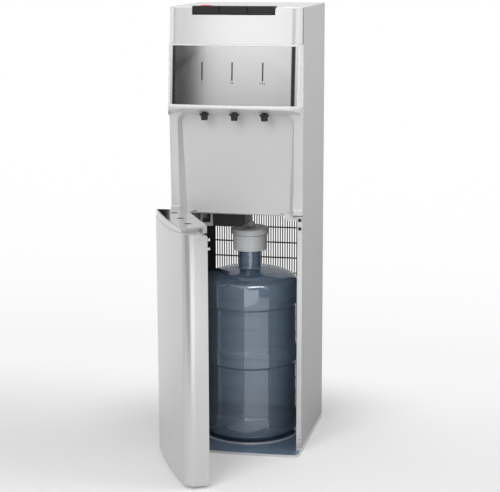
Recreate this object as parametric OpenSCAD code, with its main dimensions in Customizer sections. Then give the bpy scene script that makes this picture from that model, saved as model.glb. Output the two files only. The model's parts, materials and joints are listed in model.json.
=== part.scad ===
// Floor-standing water cooler with a bottle bay below, a dispensing niche above it,
// a hinged door that carries the drip tray, and a wire-on-tube condenser at the back.
// Millimetres. The origin is the centre of the base's underside, +Z is up and the front faces -Y.

/* [Cabinet] */
// Width across the side panels
body_w = 310; // [300:2:330]
// Depth from the front frame to the back flanges
body_d = 282; // [276:2:310]
// Height from the floor to the top cover
body_h = 1045; // [1030:5:1080]
// Sheet thickness of the side panels, the deck and the back
sheet_t = 1; // [0.8:0.1:1.5]
// Width of the folded flanges
flange_w = 12; // [10:1:14]
// Height of the base tray below the side panels
base_h = 12; // [10:1:14]
// Clear height of the bottle bay above the base tray
bay_h = 560; // [555:1:570]
// Width of each front stile
stile_w = 13; // [12:0.5:14]
// Depth of each front stile
stile_d = 26; // [24:1:28]
// Wall of the moulded front parts
wall = 2.5; // [2:0.1:3]

/* [Base lip] */
// Height of the lip in front of the base
lip_h = 5; // [4.5:0.5:5.5]
// How far the lip's ends stand in front of the frame
lip_t = 39; // [36:1:42]
// Corner radius of the lip
lip_r = 18; // [14:1:22]
// Bow of the lip between its corners
lip_bow = 6; // [4:1:8]

/* [Head] */
// Height of the head above the niche
head_h = 223; // [215:1:230]
// Depth of the head's front at its corners
head_t = 25; // [24:1:28]
// Corner radius of the head
head_r = 24; // [22:1:24]
// Bow of the head's front
head_bow = 6; // [4:1:8]
// Forward lean of the head's front towards its foot
head_lean = 5.4; // [4:0.2:6]
// Height of the upper fascia
fascia_h = 82; // [76:1:88]
// How far the fascia lies inside the control bezel's outline
fascia_inset = 1.6; // [1:0.1:2]
// Height of the steel control panel
steel_h = 132; // [125:1:136]
// Half of the steel panel's width as seen from the front
steel_half = 147; // [142:1:150]
// Thickness of the steel panel
steel_t = 0.8; // [0.6:0.1:1]
// Height of each indicator slot
slot_h = 41; // [36:1:44]
// Width of each indicator slot
slot_w = 3; // [2.5:0.5:4]
// Height of the slots' feet above the steel panel's foot
slot_up = 55; // [50:1:60]

/* [Buttons] */
// Width of the strip of three push buttons
strip_w = 190; // [184:1:196]
// Height of the buttons' front skirt
skirt_h = 17; // [15:0.5:18]
// How far the buttons stand above the top of the fascia
button_up = 3; // [2.5:0.5:4]
// Gap between neighbouring buttons
button_gap = 2; // [1.5:0.5:3]
// Travel of a button
button_travel = 3.5; // [3:0.5:3.5]
// Length of the child-safety slider
lock_l = 24; // [20:1:28]
// Travel of the child-safety slider
lock_travel = 5; // [4:0.5:6]

/* [Niche] */
// Half of the niche's width at its front edge
niche_half = 137; // [134:0.5:139]
// Half of the niche's back wall at its top
niche_back_top = 131; // [127:1:133]
// Half of the niche's back wall at its foot
niche_back_foot = 120; // [118:1:124]
// Corner radius of the niche's front edge
niche_r = 22; // [18:1:24]
// Spacing of the three nozzles
nozzle_pitch = 70; // [66:1:74]
// Height of a nozzle below its collar
nozzle_h = 15; // [13:1:18]
// Radius of a nozzle's body
nozzle_r = 8.5; // [7.5:0.5:9]
// Distance of the nozzles in front of the frame
nozzle_out = 24; // [22:1:26]

/* [Door] */
// Depth of the door at its corners, from the frame to the outer face
door_t = 56; // [52:1:60]
// Corner radius of the door
door_r = 25; // [22:1:28]
// Bow of the door's outer face
door_bow = 6; // [4:1:8]
// Running gap between the door and the frame
door_gap = 2; // [1.6:0.1:2.5]
// Height of the door's lower edge above the floor
door_z = 7; // [6.5:0.5:8]
// Radius of the door's rounded hinge edge
knuckle_r = 7; // [6.5:0.5:8]
// Angle at which the door stands open
door_open = 62.5; // [0:0.5:90]
// Radius of the hinge pins
pin_r = 3; // [2.5:0.5:3.5]
// Running clearance of the hinge pins
pin_fit = 0.06; // [0.03:0.01:0.09]
// Wall of the door's skin
door_wall = 2.5; // [2:0.1:3]

/* [Drip tray] */
// Width of the tray at its front
tray_front_w = 268; // [262:1:272]
// Width of the tray at its back
tray_back_w = 206; // [200:1:210]
// How far the tray reaches behind the frame's front plane
tray_back = 9; // [6:1:9]
// Height of the tray's rim above the door
tray_rim_h = 17; // [14:1:18]
// Depth of the basin below the door's top
basin_h = 17; // [14:1:20]
// Thickness of the drip grid
grid_t = 2; // [1.5:0.5:3]
// Length of each oval drain hole, front to back
drain_l = 18; // [14:1:22]
// Width of each oval drain hole
drain_w = 11; // [8:1:13]

/* [Bottle] */
// Radius of the bottle
bottle_r = 116; // [112:1:120]
// Height of the bottle's shoulder edge above its foot
shoulder_z = 380; // [370:1:385]
// Height of the neck's foot above the bottle's foot
neck_z = 410; // [405:1:414]
// Radius of the neck
neck_r = 27; // [25:0.5:28]
// Height of the neck
neck_h = 62; // [58:1:66]
// Wall of the bottle
bottle_wall = 1.5; // [1.2:0.1:2]
// Depth of the two recessed bands
panel_in = 4; // [3:0.5:5]
// Radius of the probe cap's upper ring
cap_r = 45; // [42:1:47]
// Height of the probe cap's lower part
collar_h = 37; // [36:1:39]
// Height of the probe cap's upper ring
cap_h = 17; // [16:1:19]
// Radius of the supply hose
hose_r = 6; // [5:0.5:7]

/* [Back] */
// Pitch of the guard's vertical slots
slot_pitch = 6; // [5.5:0.5:7]
// Width of the guard's bars between slots
bar_w = 2.6; // [2.2:0.1:3]
// Pitch of the guard's rows
row_pitch = 38.75; // [36:0.25:42]
// Height of the guard's cross bars
cross_h = 3.2; // [3:0.1:4]
// Number of straight runs of the condenser tube, where the height allows
runs = 11; // [7:2:11]
// Pitch of the runs
run_pitch = 34; // [30:1:34]
// Half of the condenser's width between the bends' centres
run_half = 105; // [95:1:110]
// Radius of the condenser tube
tube_r = 2.4; // [2:0.1:3]
// Radius of the condenser's wires
wire_r = 0.8; // [0.6:0.1:1]
// Pitch of the wires
wire_pitch = 12; // [10:1:16]
// Distance of the condenser tube's axis behind the back sheet
condenser_out = 11; // [10:0.5:14]

/* [Fits] */
// Gap between moulded parts that only lie next to each other
fit = 0.3; // [0.2:0.05:0.4]
// Gap between parts that slide past each other
slide_fit = 0.7; // [0.5:0.05:0.9]

/* [Hidden] */

silver = [0.80, 0.80, 0.81];
white_silver = [0.93, 0.93, 0.94];
grey = [0.62, 0.62, 0.64];
black = [0.13, 0.13, 0.14];
steel = [0.74, 0.74, 0.75];
blue = [0.25, 0.45, 0.75, 0.45];
far = 2 * body_h;

side_x = body_w / 2;
inner_x = side_x - sheet_t;
deck_z = base_h + bay_h;
head_z = body_h - head_h;
bezel_z = body_h - fascia_h;
rim = 3;
steel_z = bezel_z - rim - steel_h;
bay_half = side_x - stile_w;
panel_top = body_h - 1.5 * sheet_t;
roof_y = 18;

hinge_x = -side_x + knuckle_r;
hinge_y = -door_gap - knuckle_r;
cap_t = 2;
door_top = deck_z - 6.5;
tray_z = door_top + cap_t;
tray_top = tray_z + tray_rim_h;
plug_h = 12;

floor_t = lip_h;
bottle_y = body_d / 2;
bottle_z = floor_t;
neck_clear = 46;
collar_z = bottle_z + neck_z + neck_clear;
cap_z = collar_z + collar_h;
cap_dish = 2;
boot_z = cap_z + cap_h - cap_dish;
hose_end = deck_z + 24;

back_y = body_d + 1.5 * sheet_t;
coil_y = back_y + condenser_out;
coil_up = 70;
coil_down = 35;
// As many runs as fit between the fittings above the deck and the top, always an odd number
coil_runs = min(runs, 1 + 2 * floor((body_h - coil_down - deck_z - coil_up) / (2 * run_pitch)));
coil_h = (coil_runs - 1) * run_pitch;
coil_z = body_h - coil_down - coil_h;

button_w = (strip_w - 2 * button_gap) / 3;
button_step = button_w + button_gap;
shelf_z = body_h - 15;
stem_y = -14;

// Moves a part from the frame's front plane to the model's own origin
module from_front() translate([0, -body_d / 2, 0]) children();

// Turns a part of the closed door about its hinge pins to where the door stands
module door_pose() {
  translate([hinge_x, hinge_y, 0]) rotate([0, 0, -door_open]) translate([-hinge_x, -hinge_y, 0])
    children();
}

module slab(z0, z1) translate([0, 0, z0]) linear_extrude(z1 - z0) children();

// A box given by its limits
module block(x0, x1, y0, y1, z0, z1) translate([x0, y0, z0]) cube([x1 - x0, y1 - y0, z1 - z0]);

module both_sides() for (s = [0, 1]) mirror([s, 0, 0]) children();

// A tube or rod through a list of points, with round elbows
module rod(points, r, elbow = 0) {
  for (i = [1 : len(points) - 1]) {
    d = points[i] - points[i - 1];
    translate(points[i - 1]) rotate([0, acos(d[2] / norm(d)), atan2(d[1], d[0])])
      cylinder(h = norm(d), r = r, $fn = 48);
  }
  for (i = [1 : len(points) - 2]) translate(points[i]) sphere(r + elbow, $fn = 48);
}

// Plan of a bowed front: straight sides, rounded corners and a shallow arc between them
module bowed_plan(w, depth, r, bow, back = 0) {
  half = w / 2 - r;
  arc_r = (half * half + bow * bow) / (2 * bow);
  translate([-w / 2, -(depth - r)]) square([w, depth - r + back]);
  for (s = [-1, 1]) translate([s * half, -(depth - r)]) circle(r, $fn = 96);
  translate([-half, -depth]) square([2 * half, r]);
  intersection() {
    translate([0, arc_r - depth - bow]) circle(arc_r, $fn = 720);
    translate([-half, -depth - 2 * bow]) square([2 * half, 2 * bow + 1]);
  }
}

// ---- Base and cabinet ----

pad_r = 12;
pad_t = 3;
pad_in = 28;

module pad_places() {
  for (x = [-1, 1], y = [pad_in, body_d - pad_in]) translate([x * (side_x - pad_in), y, 0]) children();
}

ring_w = 4;
ring_h = 3;
bead_w = 3;
bead_h = 0.8;

module base_tray() color(silver) from_front() {
  difference() {
    union() {
      block(-side_x, side_x, 0, body_d, 0, base_h);
      slab(0, lip_h) bowed_plan(body_w, lip_t, lip_r, lip_bow, back = 1);
      // Bead round the lip's edge
      slab(lip_h - 1, lip_h + bead_h) difference() {
        bowed_plan(body_w, lip_t, lip_r, lip_bow, back = 1);
        bowed_plan(body_w - 2 * bead_w, lip_t - bead_w, lip_r - bead_w, lip_bow, back = 2);
      }
    }
    block(-bay_half, bay_half, -1, body_d - stile_w, floor_t, base_h + 1);
    pad_places() cylinder(h = pad_t, r = pad_r, $fn = 48);
    lower_plate(fit / 3);
  }
  // Ring that centres the bottle
  translate([0, bottle_y, floor_t]) difference() {
    cylinder(h = ring_h, r = bottle_r + 3 + ring_w, $fn = 128);
    translate([0, 0, -1]) cylinder(h = ring_h + 2, r = bottle_r + 3, $fn = 128);
  }
}

module base_pads() color(black) from_front() pad_places() cylinder(h = pad_t, r = pad_r - fit, $fn = 48);

module side_panel() from_front() {
  block(inner_x, side_x, 0, body_d, base_h, panel_top);
  block(side_x - flange_w, inner_x, body_d - sheet_t, body_d, base_h, panel_top);
  block(side_x - flange_w, inner_x, stile_d + 2, body_d - sheet_t, base_h, base_h + sheet_t);
}

module right_side_panel() color(grey) side_panel();

module left_side_panel() color(grey) mirror([1, 0, 0]) side_panel();

skirt_t = 1.5;
skirt_drop = 10;

module top_cover() color(silver) from_front() {
  block(-side_x, side_x, roof_y, back_y, panel_top, body_h);
  difference() {
    block(-inner_x + fit, inner_x - fit, roof_y, body_d - sheet_t - fit, panel_top - skirt_drop, panel_top);
    block(-inner_x + fit + skirt_t, inner_x - fit - skirt_t, roof_y + skirt_t,
      body_d - sheet_t - fit - skirt_t, panel_top - skirt_drop - 1, panel_top);
    both_sides() block(side_x - flange_w - fit, side_x, body_d - sheet_t - fit - 2 * skirt_t, body_d,
      panel_top - skirt_drop - 1, panel_top);
  }
}

stile_wall = 2;
stile_top = deck_z - 1.5;
catch_x = side_x - 7;
catch_z = [door_top - 24, door_top - 4];
stud_r = 3.2;
stud_out = 6;

module stile() {
  block(bay_half, inner_x, 0, stile_wall, base_h, stile_top);
  block(bay_half, bay_half + stile_wall, 0, stile_d, base_h, stile_top);
  // Reinforcing webs inside the channel
  for (z = [base_h + 60 : 100 : stile_top - 60])
    block(bay_half, inner_x - fit, stile_wall, stile_d - 8, z, z + stile_wall);
}

rail_y = 16;
rail_h = 5;
rail_lip = 12;

module lower_front_frame() color(silver) from_front() difference() {
  union() {
    both_sides() stile();
    // Rail below the deck's front edge, with a lip that rises in front of the deck
    difference() {
      block(-bay_half, bay_half, rail_y, stile_d, deck_z - rail_h, deck_z);
      block(-bay_half + stile_wall, bay_half - stile_wall, rail_y + stile_wall, stile_d + 1,
        deck_z - rail_h - 1, deck_z - stile_wall);
    }
    block(-bay_half, bay_half, rail_y, rail_y + stile_wall, deck_z - rail_h, deck_z + rail_lip);
  }
  for (z = catch_z) translate([catch_x, -1, z]) rotate([-90, 0, 0])
    cylinder(h = stile_wall + 2, r = stud_r + 1, $fn = 32);
  // Two small holes for the door switch's screws
  for (z = [22.3, 32.7]) translate([side_x - 5.5, -1, z]) rotate([-90, 0, 0])
    cylinder(h = stile_wall + 2, r = 1.6, $fn = 24);
}

module catch_block() color(black) from_front()
  block(bay_half + stile_wall, inner_x - fit, stud_out - door_gap + fit, stud_out + 10,
    catch_z[0] - 8, catch_z[1] + 8);

hose_hole_r = hose_r + 4;
deck_lip = 20;

module machine_deck() color(grey) from_front() {
  difference() {
    block(-inner_x + fit, inner_x - fit, rail_y + stile_wall + fit, body_d - sheet_t - fit,
      deck_z, deck_z + sheet_t);
    translate([0, bottle_y, deck_z - 1]) cylinder(h = sheet_t + 2, r = hose_hole_r, $fn = 48);
    mount_places(compressor_at) translate([0, 0, deck_z - 1]) cylinder(h = sheet_t + 2, r = 3, $fn = 24);
  }
  both_sides() block(inner_x - fit - sheet_t, inner_x - fit, stile_d + 2, body_d - sheet_t - fit,
    deck_z - deck_lip, deck_z);
}

// ---- Back ----

guard_half = 139;
guard_left = -121.6;
guard_foot = 24;

module back_guard() color(black) from_front() {
  columns = floor((guard_half - guard_left) / slot_pitch);
  rows = floor((deck_z - guard_foot - cross_h) / row_pitch);
  width = slot_pitch - bar_w;
  translate([0, back_y, 0]) rotate([90, 0, 0]) linear_extrude(1.5 * sheet_t) difference() {
    translate([-inner_x, base_h]) square([2 * inner_x, deck_z - base_h - fit]);
    for (r = [0 : rows - 1], c = [0 : columns - 1])
      translate([guard_left + c * slot_pitch + bar_w / 2, guard_foot + r * row_pitch + cross_h / 2])
        square([width, row_pitch - cross_h]);
  }
}

drain_at = [-90, deck_z + 42];
inlet_at = [100, deck_z + 34];
drain_r = 13;
inlet_r = 9;
vent_w = 26;
vent_h = 4;

module rear_plate_hole(at, r) translate([at[0], body_d - 5, at[1]]) rotate([-90, 0, 0])
  cylinder(h = 10, r = r, $fn = 48);

module rear_cover() color(grey) from_front() difference() {
  block(-inner_x, inner_x, body_d, back_y, deck_z, panel_top);
  rear_plate_hole(drain_at, drain_r + fit);
  rear_plate_hole(inlet_at, inlet_r + fit);
  for (z = [coil_z, coil_z + coil_h]) rear_plate_hole([run_half, z], tube_r + 1);
  // Vents behind the compressor
  for (c = [-1.5 : 1.5], r = [0 : 5])
    translate([c * (vent_w + 10) - vent_w / 2, body_d - 1, coil_z + 40 + r * 3 * vent_h])
      cube([vent_w, 5, vent_h]);
  screw_places() cylinder(h = 10, r = screw_r + fit, center = true, $fn = 24);
}

screw_r = 1.8;
screw_head_r = 3.6;
screw_head_h = 2;
screw_l = 8;

module screw_places() for (s = [-1, 1], z = [deck_z + 12, (deck_z + panel_top) / 2, panel_top - 16])
  translate([s * (side_x - flange_w / 2 - 1), back_y, z]) rotate([90, 0, 0]) children();

module rear_screws() color(steel) from_front() screw_places() {
  translate([0, 0, -screw_head_h]) cylinder(h = screw_head_h, r = screw_head_r, $fn = 32);
  cylinder(h = 1.5 * sheet_t, r = screw_r, $fn = 24);
}

// One run of the condenser tube every run_pitch, joined by half-round bends at alternate ends
module condenser_tube() color(black) from_front() translate([0, coil_y, coil_z]) {
  for (i = [0 : coil_runs - 1]) translate([-run_half, 0, i * run_pitch]) rotate([0, 90, 0])
    cylinder(h = 2 * run_half, r = tube_r, $fn = 24);
  for (i = [0 : coil_runs - 2]) {
    s = i % 2 == 0 ? -1 : 1;
    translate([s * run_half, 0, (i + 0.5) * run_pitch]) rotate([90, s * 90, 0])
      rotate_extrude(angle = 180, $fn = 96) translate([run_pitch / 2, 0]) circle(tube_r, $fn = 24);
  }
  // The two ends turn forward through the rear cover
  for (z = [0, coil_h]) translate([run_half, 0, z]) {
    sphere(tube_r, $fn = 24);
    rotate([90, 0, 0]) cylinder(h = condenser_out + 12, r = tube_r, $fn = 24);
  }
}

module condenser_wires() color(black) from_front() {
  count = floor((2 * run_half - wire_pitch) / wire_pitch);
  for (i = [0 : count], s = [-1, 1])
    translate([(i - count / 2) * wire_pitch, coil_y + s * (tube_r + wire_r), coil_z - 8])
      cylinder(h = coil_h + 16, r = wire_r, $fn = 16);
}

clip_w = 9;
clip_rows = [1, coil_runs - 2];

module condenser_clips() color(black) from_front() for (s = [-1, 1], i = clip_rows) difference() {
  block(s * (run_half - 3) - clip_w / 2, s * (run_half - 3) + clip_w / 2, back_y, coil_y + tube_r + 2,
    coil_z + i * run_pitch - 6, coil_z + i * run_pitch + 6);
  translate([0, coil_y, coil_z + i * run_pitch]) rotate([0, 90, 0])
    cylinder(h = far, r = tube_r + fit / 3, center = true, $fn = 32);
  // Open top through which the run drops into its hook
  block(-side_x, side_x, coil_y - tube_r / 2, coil_y + tube_r + 3,
    coil_z + i * run_pitch, coil_z + i * run_pitch + 7);
}

module drain_and_inlet() color(black) from_front() {
  // Drain spout with its screw cap
  translate([drain_at[0], back_y, drain_at[1]]) rotate([-90, 0, 0]) {
    cylinder(h = 4, r = drain_r + 3, $fn = 64);
    difference() {
      translate([0, 0, 4]) cylinder(h = 10, r = drain_r, $fn = 64);
      for (a = [0 : 30 : 330]) rotate([0, 0, a]) translate([drain_r + 1, 0, 9])
        cylinder(h = 12, r = 2, center = true, $fn = 24);
    }
    translate([0, 0, -20]) cylinder(h = 20, r = drain_r - 4, $fn = 48);
  }
  // Cord gland
  translate([inlet_at[0], back_y, inlet_at[1]]) rotate([-90, 0, 0]) difference() {
    union() {
      cylinder(h = 3, r = inlet_r + 3, $fn = 64);
      translate([0, 0, -8]) cylinder(h = 8, r = inlet_r, $fn = 48);
      translate([0, 0, 3]) cylinder(h = 7, r = inlet_r - 2, $fn = 48);
    }
    translate([0, 0, -9]) cylinder(h = 25, r = 4, $fn = 32);
  }
}

// ---- Head ----

// The head's outline leans forward towards its foot
module leaning() translate([0, 0, body_h]) rotate([-head_lean, 0, 0]) translate([0, 0, -body_h]) children();

// The head's outer form between two heights, drawn in by inset
module head_form(inset, z0, z1, back = 0) intersection() {
  leaning() slab(0, body_h + 30)
    bowed_plan(body_w - 2 * inset, head_t - inset, head_r - inset, head_bow, back = body_d / 3);
  block(-side_x, side_x, -body_d / 2, back, z0, z1);
}

module slot_places() for (x = [-nozzle_pitch, 0, nozzle_pitch])
  translate([x, 0, steel_z + slot_up]) children();

bezel_wall = 3;

module control_bezel() color(white_silver) from_front() difference() {
  union() {
    head_form(0, head_z, bezel_z);
    head_form(sheet_t + fit, head_z, bezel_z, back = roof_y / 2);
  }
  head_form(bezel_wall, head_z - 1, bezel_z + 1, back = roof_y);
  intersection() {
    difference() {
      head_form(-1, steel_z, steel_z + steel_h);
      head_form(steel_t, steel_z - 1, steel_z + steel_h + 1);
    }
    block(-steel_half, steel_half, -body_d / 2, 0, steel_z, steel_z + steel_h);
  }
  slot_places() block(-slot_w / 2, slot_w / 2, -body_d / 2, 0, 0, slot_h);
}

module steel_panel() color(steel) from_front() intersection() {
  difference() {
    head_form(0, steel_z, steel_z + steel_h);
    head_form(steel_t, steel_z - 1, steel_z + steel_h + 1, back = 1);
    slot_places() block(-slot_w / 2, slot_w / 2, -body_d / 2, 0, 0, slot_h);
  }
  block(-steel_half, steel_half, -body_d / 2, 0, steel_z, steel_z + steel_h);
}

board_out = 22;
board_t = 1.6;
board_foot = 40;
board_h = 72;
spacer = 6;

module indicator_lenses() color(black) from_front() intersection() {
  head_form(fit, steel_z, bezel_z);
  leaning() block(-side_x, side_x, -body_d / 2, -board_out, head_z, body_h);
  slot_places() block(-slot_w / 2 + fit / 2, slot_w / 2 - fit / 2, -body_d / 2, 0, fit, slot_h - fit);
}

module display_board() color("darkgreen") from_front() {
  foot = steel_z + board_foot;
  leaning() block(-strip_w / 2, strip_w / 2, -board_out, board_t - board_out, foot, foot + board_h);
  // Spacers between the board and the bezel
  intersection() {
    leaning() for (x = [-strip_w / 2 + spacer, strip_w / 2 - 2 * spacer],
      z = [foot + spacer, foot + board_h - 2 * spacer])
      block(x, x + spacer, -body_d / 4, board_t / 2 - board_out, z, z + spacer);
    head_form(bezel_wall + fit / 3, head_z, bezel_z);
  }
}

pocket_half = strip_w / 2 + slide_fit;
pocket_back = -4;
plate_t = 2.5;
plate_z = body_h + button_up - plate_t;
stem_r = 2.5;

module button_places() for (i = [-1 : 1]) translate([i * button_step, stem_y, 0]) children();

module fascia() color(white_silver) from_front() difference() {
  union() {
    difference() {
      head_form(fascia_inset, bezel_z, body_h, back = roof_y - fit);
      head_form(fascia_inset + wall, bezel_z - 1, body_h - wall, back = roof_y);
    }
    // Trough that guides the buttons
    intersection() {
      head_form(fascia_inset + wall / 2, shelf_z - 2, body_h - wall / 2);
      block(-pocket_half - 2, pocket_half + 2, -body_d / 2, pocket_back + 2, shelf_z - 2, body_h);
    }
  }
  intersection() {
    head_form(fascia_inset + wall, shelf_z, body_h + 5, back = pocket_back);
    block(-pocket_half, pocket_half, -body_d / 2, 0, shelf_z, body_h + 5);
  }
  block(-pocket_half, pocket_half, -body_d / 2, pocket_back, body_h - button_travel - 0.5, body_h + 5);
  button_places() translate([0, 0, shelf_z - 5]) cylinder(h = 10, r = stem_r + fit, $fn = 32);
}

corner_r = 9;

// Front view of one button: the outer lower corner of each end button is rounded
module button_front(i) difference() {
  square([button_w, skirt_h]);
  if (i != 0) translate([i < 0 ? 0 : button_w, 0]) mirror([i < 0 ? 0 : 1, 0]) difference() {
    translate([-1, -1]) square(corner_r + 1);
    translate([corner_r, corner_r]) circle(corner_r, $fn = 64);
  }
}

module button(i) from_front() {
  intersection() {
    difference() {
      head_form(fascia_inset - 2, plate_z - skirt_h, body_h + button_up, back = pocket_back - slide_fit);
      head_form(fascia_inset - slide_fit, 0, plate_z, back = 1);
    }
    translate([i * button_step - button_w / 2, 0, body_h + button_up - skirt_h]) rotate([90, 0, 0])
      linear_extrude(body_d / 3) button_front(i);
  }
  translate([i * button_step, stem_y, shelf_z - 2.2])
    cylinder(h = plate_z - shelf_z + 2.2 + 0.5, r = stem_r, $fn = 32);
}

lock_w = 8;
lock_h = 1.2;
lock_seat = 1;
lock_x = -button_step - (lock_l + lock_travel) / 2;

module button_hot() color(black) difference() {
  button(-1);
  from_front() block(lock_x - fit, lock_x + lock_l + lock_travel + fit, stem_y - lock_w / 2 - fit,
    stem_y + lock_w / 2 + fit, body_h + button_up - lock_seat, body_h + button_up + 1);
}

module button_room() color(black) button(0);

module button_cold() color(black) button(1);

module child_lock() color([0.75, 0.08, 0.1]) from_front() {
  top = body_h + button_up;
  block(lock_x, lock_x + lock_l, stem_y - lock_w / 2, stem_y + lock_w / 2, top - lock_seat, top + lock_h);
  // Grip ribs
  for (i = [-2 : 2]) block(lock_x + lock_l / 2 + i * 3 - 0.5, lock_x + lock_l / 2 + i * 3 + 0.5,
    stem_y - lock_w / 2 + 1, stem_y + lock_w / 2 - 1, top + lock_h, top + lock_h + 0.6);
}

module spring(i) color(steel) from_front() translate([i * button_step, stem_y, shelf_z]) difference() {
  cylinder(h = plate_z - shelf_z, r = stem_r + 1.9, $fn = 32);
  translate([0, 0, -1]) cylinder(h = plate_z - shelf_z + 2, r = stem_r + 1, $fn = 32);
}

module spring_hot() spring(-1);

module spring_room() spring(0);

module spring_cold() spring(1);

module switch_board() color("darkgreen") from_front() {
  z = shelf_z - 12;
  block(-strip_w / 2, strip_w / 2, stem_y - 8, stem_y + 8, z, z + board_t);
  for (x = [-1.5, -0.5, 0.5, 1.5]) translate([x * button_step * 0.9, stem_y, z])
    cylinder(h = shelf_z - 2 - z, r = 2.5, $fn = 24);
  // Tactile switches under the button stems
  button_places() {
    translate([-3, -3, z]) cube([6, 6, board_t + 3]);
    translate([0, 0, z]) cylinder(h = board_t + 4, r = 1.7, $fn = 24);
  }
}

// ---- Niche ----

foot_z = deck_z - 2;
post_z = deck_z + 2;
niche_top = head_z - 15;
niche_back = rail_y - fit;
post_y = -15;
post_foot_y = -9;
ledge_y = -13;
ledge_h = 14;
back_top_y = 6;
back_foot_y = 12;

// Side view of the niche moulding: the posts, the ledge at their feet and the sloping underside
// of the head, drawn in by inset
module niche_side(inset) polygon([
  [niche_back + 10 * inset, foot_z + inset], [ledge_y + 3 + inset, foot_z + inset],
  [ledge_y + inset, foot_z + 6 + inset], [ledge_y + inset, post_z + ledge_h - 3],
  [post_foot_y + inset, post_z + ledge_h], [post_y + inset, head_z - 32],
  [post_y - 2 + inset, head_z - 16 + inset], [-body_d / 5 + 8 * inset, head_z - inset],
  [niche_back + 10 * inset, head_z - inset]
]);

module niche_block(inset) intersection() {
  head_form(inset, foot_z, head_z, back = niche_back + 10 * inset);
  translate([-side_x, 0, 0]) rotate([90, 0, 90]) linear_extrude(body_w) niche_side(inset);
  union() {
    block(-side_x, side_x, -body_d / 2, 0, foot_z, head_z);
    block(-inner_x + fit + inset, inner_x - fit - inset, -1, body_d / 2, foot_z, head_z);
  }
}

// The scooped hollow: an arched opening that narrows towards the back wall
module scoop(grow) hull() both_sides() {
  translate([niche_half - niche_r, post_y - 3, niche_top - niche_r]) rotate([90, 0, 0])
    cylinder(h = 0.1, r = niche_r + grow, $fn = 48);
  translate([niche_half - 1 + grow, post_y - 3, foot_z - 20]) cube([1, 0.1, 1]);
  translate([niche_back_top - niche_r + 6, back_top_y + grow, niche_top - niche_r + 2]) rotate([90, 0, 0])
    cylinder(h = 0.1, r = niche_r - 6 + grow, $fn = 48);
  translate([niche_back_foot - 1 + grow, back_foot_y + grow - 0.1, foot_z - 20]) cube([1, 0.1, 1]);
}

arch_r = 18;
post_x = bay_half - 8;
lug_x = 112;
lug_h = 10;
lug_r = 8;
lug_y = [0.5, 12];
notch_drop = 3;

// Rounded outer corners where the head meets the posts
module arch_corners() intersection() {
  head_form(0, head_z - arch_r - 3, head_z);
  both_sides() difference() {
    block(side_x - arch_r, side_x, -body_d / 2, post_y + 2, head_z - arch_r - 3, head_z);
    translate([side_x - arch_r, 0, head_z - arch_r - 3]) rotate([90, 0, 0])
      cylinder(h = body_d, r = arch_r, center = true, $fn = 64);
  }
}

// Guide lugs that hang below the niche's lower corners
module lugs() both_sides() {
  translate([0, lug_y[1], 0]) rotate([90, 0, 0]) linear_extrude(lug_y[1] - lug_y[0]) {
    translate([lug_x, foot_z - lug_h + lug_r]) square([post_x - lug_x, lug_h - lug_r + wall]);
    translate([lug_x + lug_r, foot_z - lug_h]) square([bay_half - fit - lug_x - lug_r, lug_h]);
    translate([lug_x + lug_r, foot_z - lug_h + lug_r]) circle(lug_r, $fn = 48);
  }
}

module nozzle_places() for (i = [-1 : 1]) translate([i * nozzle_pitch, -nozzle_out, 0]) children();

stem_bore_r = 5;

module niche_shell() color(silver) from_front() {
  difference() {
    union() {
      niche_block(0);
      arch_corners();
    }
    scoop(0);
    difference() {
      niche_block(wall);
      scoop(wall);
    }
    both_sides() {
      block(post_x, side_x + 1, -body_d / 2, niche_back + 1, foot_z - 1, post_z);
      // Notch beside the lug
      translate([lug_x - lug_r, 0, foot_z - notch_drop]) rotate([-90, 0, 0])
        cylinder(h = niche_back + 1, r = lug_r, $fn = 48);
    }
    nozzle_places() translate([0, 0, niche_top - 5]) cylinder(h = 40, r = stem_bore_r + fit, $fn = 48);
  }
  lugs();
}

nozzle_z = head_z - 16 - nozzle_h;
valve_z = head_z + 8;

ear_t = 10;
ear_out = 3;

module nozzle(i) color(black) from_front() translate([i * nozzle_pitch, -nozzle_out, nozzle_z])
  difference() {
    union() {
      cylinder(h = nozzle_h - 3, r1 = nozzle_r - 1, r2 = nozzle_r, $fn = 64);
      translate([0, 0, nozzle_h - 3]) cylinder(h = 3, r = nozzle_r + 0.7, $fn = 64);
      // Pointed grips that rise on both sides of the collar
      both_sides() translate([0, ear_t / 2, nozzle_h - 3]) rotate([90, 0, 0]) linear_extrude(ear_t)
        polygon([[0, 0], [nozzle_r, -2], [nozzle_r + ear_out, 2.5], [nozzle_r - 1, 2], [0, 2]]);
      cylinder(h = valve_z - nozzle_z, r = stem_bore_r, $fn = 48);
    }
    translate([0, 0, -1]) cylinder(h = valve_z - nozzle_z + 2, r = 3, $fn = 32);
    translate([0, 0, -0.5]) cylinder(h = 3.5, r = nozzle_r - 2.5, $fn = 48);
  }

module nozzle_hot() nozzle(-1);

module nozzle_room() nozzle(0);

module nozzle_cold() nozzle(1);

valve_w = 26;
line_r = 4;
elbow = 1.5;
line_z = valve_z + 10;
valve_back = valve_w / 2 - nozzle_out;

module dispense_valves() color(black) from_front() nozzle_places() translate([0, 0, valve_z]) {
  difference() {
    translate([-valve_w / 2, -valve_w / 2, 0]) cube([valve_w, valve_w, 20]);
    translate([0, 0, -1]) cylinder(h = 12, r = 3, $fn = 32);
  }
  translate([0, 0, 20]) cylinder(h = 22, r = 10, $fn = 48);
  translate([-9, -11, 24]) cube([18, 22, 14]);
  translate([0, valve_w / 2, 10]) rotate([-90, 0, 0]) cylinder(h = 12, r = line_r, $fn = 24);
}

// ---- Hinges and door ----

bracket_t = 3;

module hinge_plate(back, grow = 0) {
  translate([hinge_x, hinge_y]) circle(knuckle_r - 2 * fit + grow, $fn = 64);
  translate([-inner_x - grow, hinge_y]) square([stile_w + 5 + 2 * grow, back - hinge_y + grow]);
}

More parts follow.
